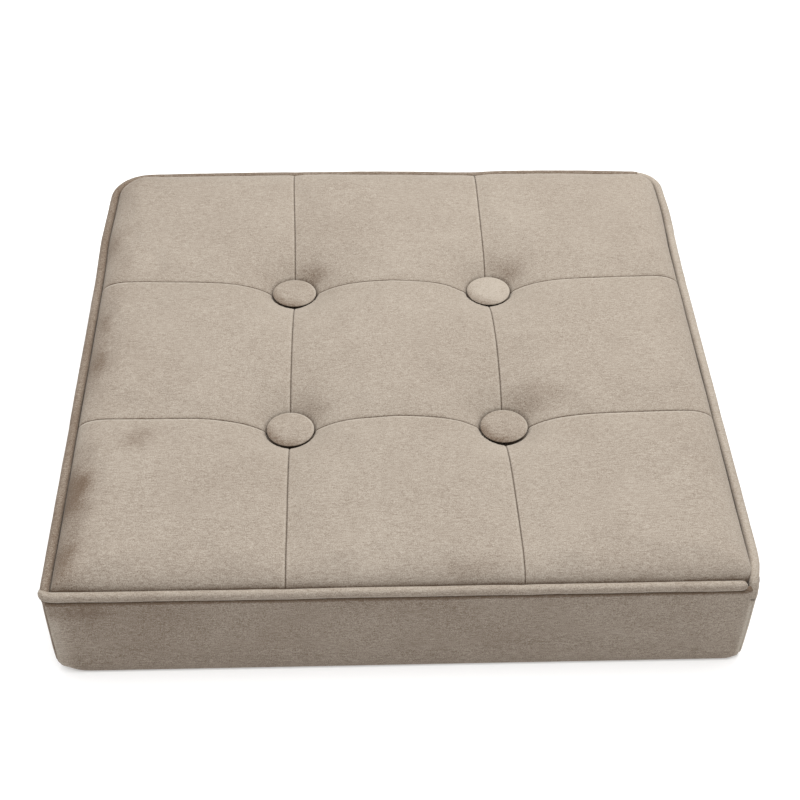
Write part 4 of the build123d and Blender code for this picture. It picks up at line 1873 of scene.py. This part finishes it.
# ---- the underside ---------------------------------------------------------------------------
@dataclass
class Underside:
    """The dust cover, and the carried-over hardware and board."""

    finishes: Finishes
    step: float = 3.0
    pucker_pitch: float = 36.0
    hole_radius: float = 4.5
    thickness: float = 0.35
    face: float = 0.4
    clearance: float = 0.1

    def dust_cover(self) -> bpy.types.Object:
        """The nonwoven cloth, drawn up a little between its staples, with its bolt holes.

        Returns:
            The finished cover.
        """
        low, high = box_of("dust_cover")
        xs = np.linspace(low[0], high[0], int((high[0] - low[0]) / self.step))
        ys = np.linspace(low[1], high[1], int((high[1] - low[1]) / self.step))
        x, y = np.meshgrid(xs, ys)
        edge = np.minimum(np.minimum(x - low[0], high[0] - x), np.minimum(y - low[1], high[1] - y))
        folds = 0.5 + 0.5 * soft_noise(x, y, 30, 51)
        pucker = 0.5 + 0.5 * np.cos(2 * np.pi * np.where(np.abs(x) > np.abs(y), y, x) / self.pucker_pitch)
        lift = 0.75 * folds * smooth_step(edge, 30, 70) + 0.22 * pucker * smooth_step(20 - edge, 0, 16)
        under = min(box_of("twine_staples")[0][2], box_of("button_twine_front_left")[0][2])
        lift = np.minimum(lift, max(under - self.clearance - self.face, 0.0))
        points = np.stack([x, y, self.face + lift], -1)
        piece = mesh_piece("dust_cloth", points, grid_faces(*x.shape))
        thicken(piece, self.thickness)
        punches = []
        for corner in Corner:
            nut_low, nut_high = box_of(f"t_nut_{corner.word}")
            middle = (nut_low + nut_high) / 2
            place = (middle[0] * MM, middle[1] * MM, 0)
            bpy.ops.mesh.primitive_cylinder_add(
                vertices=40, radius=self.hole_radius * MM, depth=20 * MM, location=place
            )
            punches.append(bpy.context.object)
            cut = piece.modifiers.new("hole", "BOOLEAN")
            cut.operation, cut.object, cut.solver = "DIFFERENCE", punches[-1], "EXACT"
        apply_modifiers(piece)
        for punch in punches:
            bpy.data.objects.remove(punch)
        self.finishes.dress(piece, "black_nonwoven")
        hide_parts("dust_cover")
        return piece

    def build(self) -> None:
        """Build the dust cover and dress the frame nodes that stay as they are."""
        report(self.dust_cover())
        slots = {entry["node"]: entry["material_slot"] for entry in frame["record"]["subparts"]}
        for node, slot in slots.items():
            if not frame["nodes"][node].hide_render:
                self.finishes.dress_node(node, slot)


# ---- the studio ------------------------------------------------------------------------------
@dataclass
class Studio:
    """The floor, the lights and the camera."""

    camera_place: tuple[float, float, float] = (-25.3, -731.9, 716.8)
    camera_aim: tuple[float, float, float] = (3.8, -5.1, 29.7)
    camera_roll: float = 0.75
    lens: float = 68.5
    key_colour: tuple[float, float, float] = (1.0, 0.985, 0.96)
    room_light: float = 0.40
    floor_size: float = 6000.0

    def floor(self) -> None:
        """Lay the floor."""
        size = self.floor_size
        points = np.array([(-size, -size, 0), (size, -size, 0), (size, size, 0), (-size, size, 0)])
        floor = mesh_piece("floor", points, [(0, 1, 2, 3)])
        floor.data.materials.append(PaleFloor().make())

    def area_light(self, name: str, place: tuple[float, float, float], size: float, power: float,
                   colour: tuple[float, float, float] = (1, 1, 1)) -> None:
        """Hang a square soft light that faces the pad.

        Args:
            name: The light's name.
            place: Where it hangs, in millimetres.
            size: Its side, in millimetres.
            power: Its power, in watts.
            colour: Its colour.
        """
        light = bpy.data.lights.new(name, "AREA")
        light.size, light.energy, light.color = size * MM, power, colour
        holder = bpy.data.objects.new(name, light)
        holder.location = Vector(place) * MM
        aim = Vector((0, 0, 50 * MM)) - holder.location
        holder.rotation_euler = aim.to_track_quat("-Z", "Y").to_euler()
        bpy.context.scene.collection.objects.link(holder)

    def camera(self) -> None:
        """Set up the camera."""
        data = bpy.data.cameras.new("camera")
        data.lens, data.sensor_width = self.lens, 36
        data.clip_start, data.clip_end = 0.01, 50
        holder = bpy.data.objects.new("camera", data)
        place, aim = Vector(self.camera_place) * MM, Vector(self.camera_aim) * MM
        turn = (aim - place).to_track_quat("-Z", "Y").to_matrix().to_4x4()
        roll = Matrix.Rotation(math.radians(self.camera_roll), 4, "Z")
        holder.matrix_world = Matrix.Translation(place) @ turn @ roll
        bpy.context.scene.collection.objects.link(holder)
        bpy.context.scene.camera = holder

    def build(self) -> None:
        """Make the studio."""
        self.floor()
        self.camera()
        self.area_light("key", (620, 760, 1150), 560, 11, self.key_colour)
        self.area_light("overhead", (-120, -200, 1700), 1700, 33)
        world = bpy.data.worlds.new("room")
        bpy.context.scene.world = world
        world.use_nodes = True
        world.node_tree.nodes["Background"].inputs["Color"].default_value = (1, 1, 1, 1)
        world.node_tree.nodes["Background"].inputs["Strength"].default_value = self.room_light
        view = bpy.context.scene.view_settings
        view.view_transform, view.look, view.exposure = "Standard", "None", 0.0


def main() -> None:
    """Build the pad in order."""
    logging.basicConfig(level=logging.INFO, format="%(name)s: %(message)s")
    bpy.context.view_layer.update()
    Studio().build()
    finishes = Finishes()
    plan = Plan()
    shape = TopShape(plan)
    panels = TopPanels(shape, Pulls(shape), finishes)
    Stuffing(shape, finishes).build()
    panels.build()
    SeamStitches(panels, finishes).build()
    Boxing(plan, finishes).build()
    Piping(plan, finishes).build()
    CoveredButtons(plan, finishes).build()
    Underside(finishes).build()


if __name__ == "__main__":
    main()
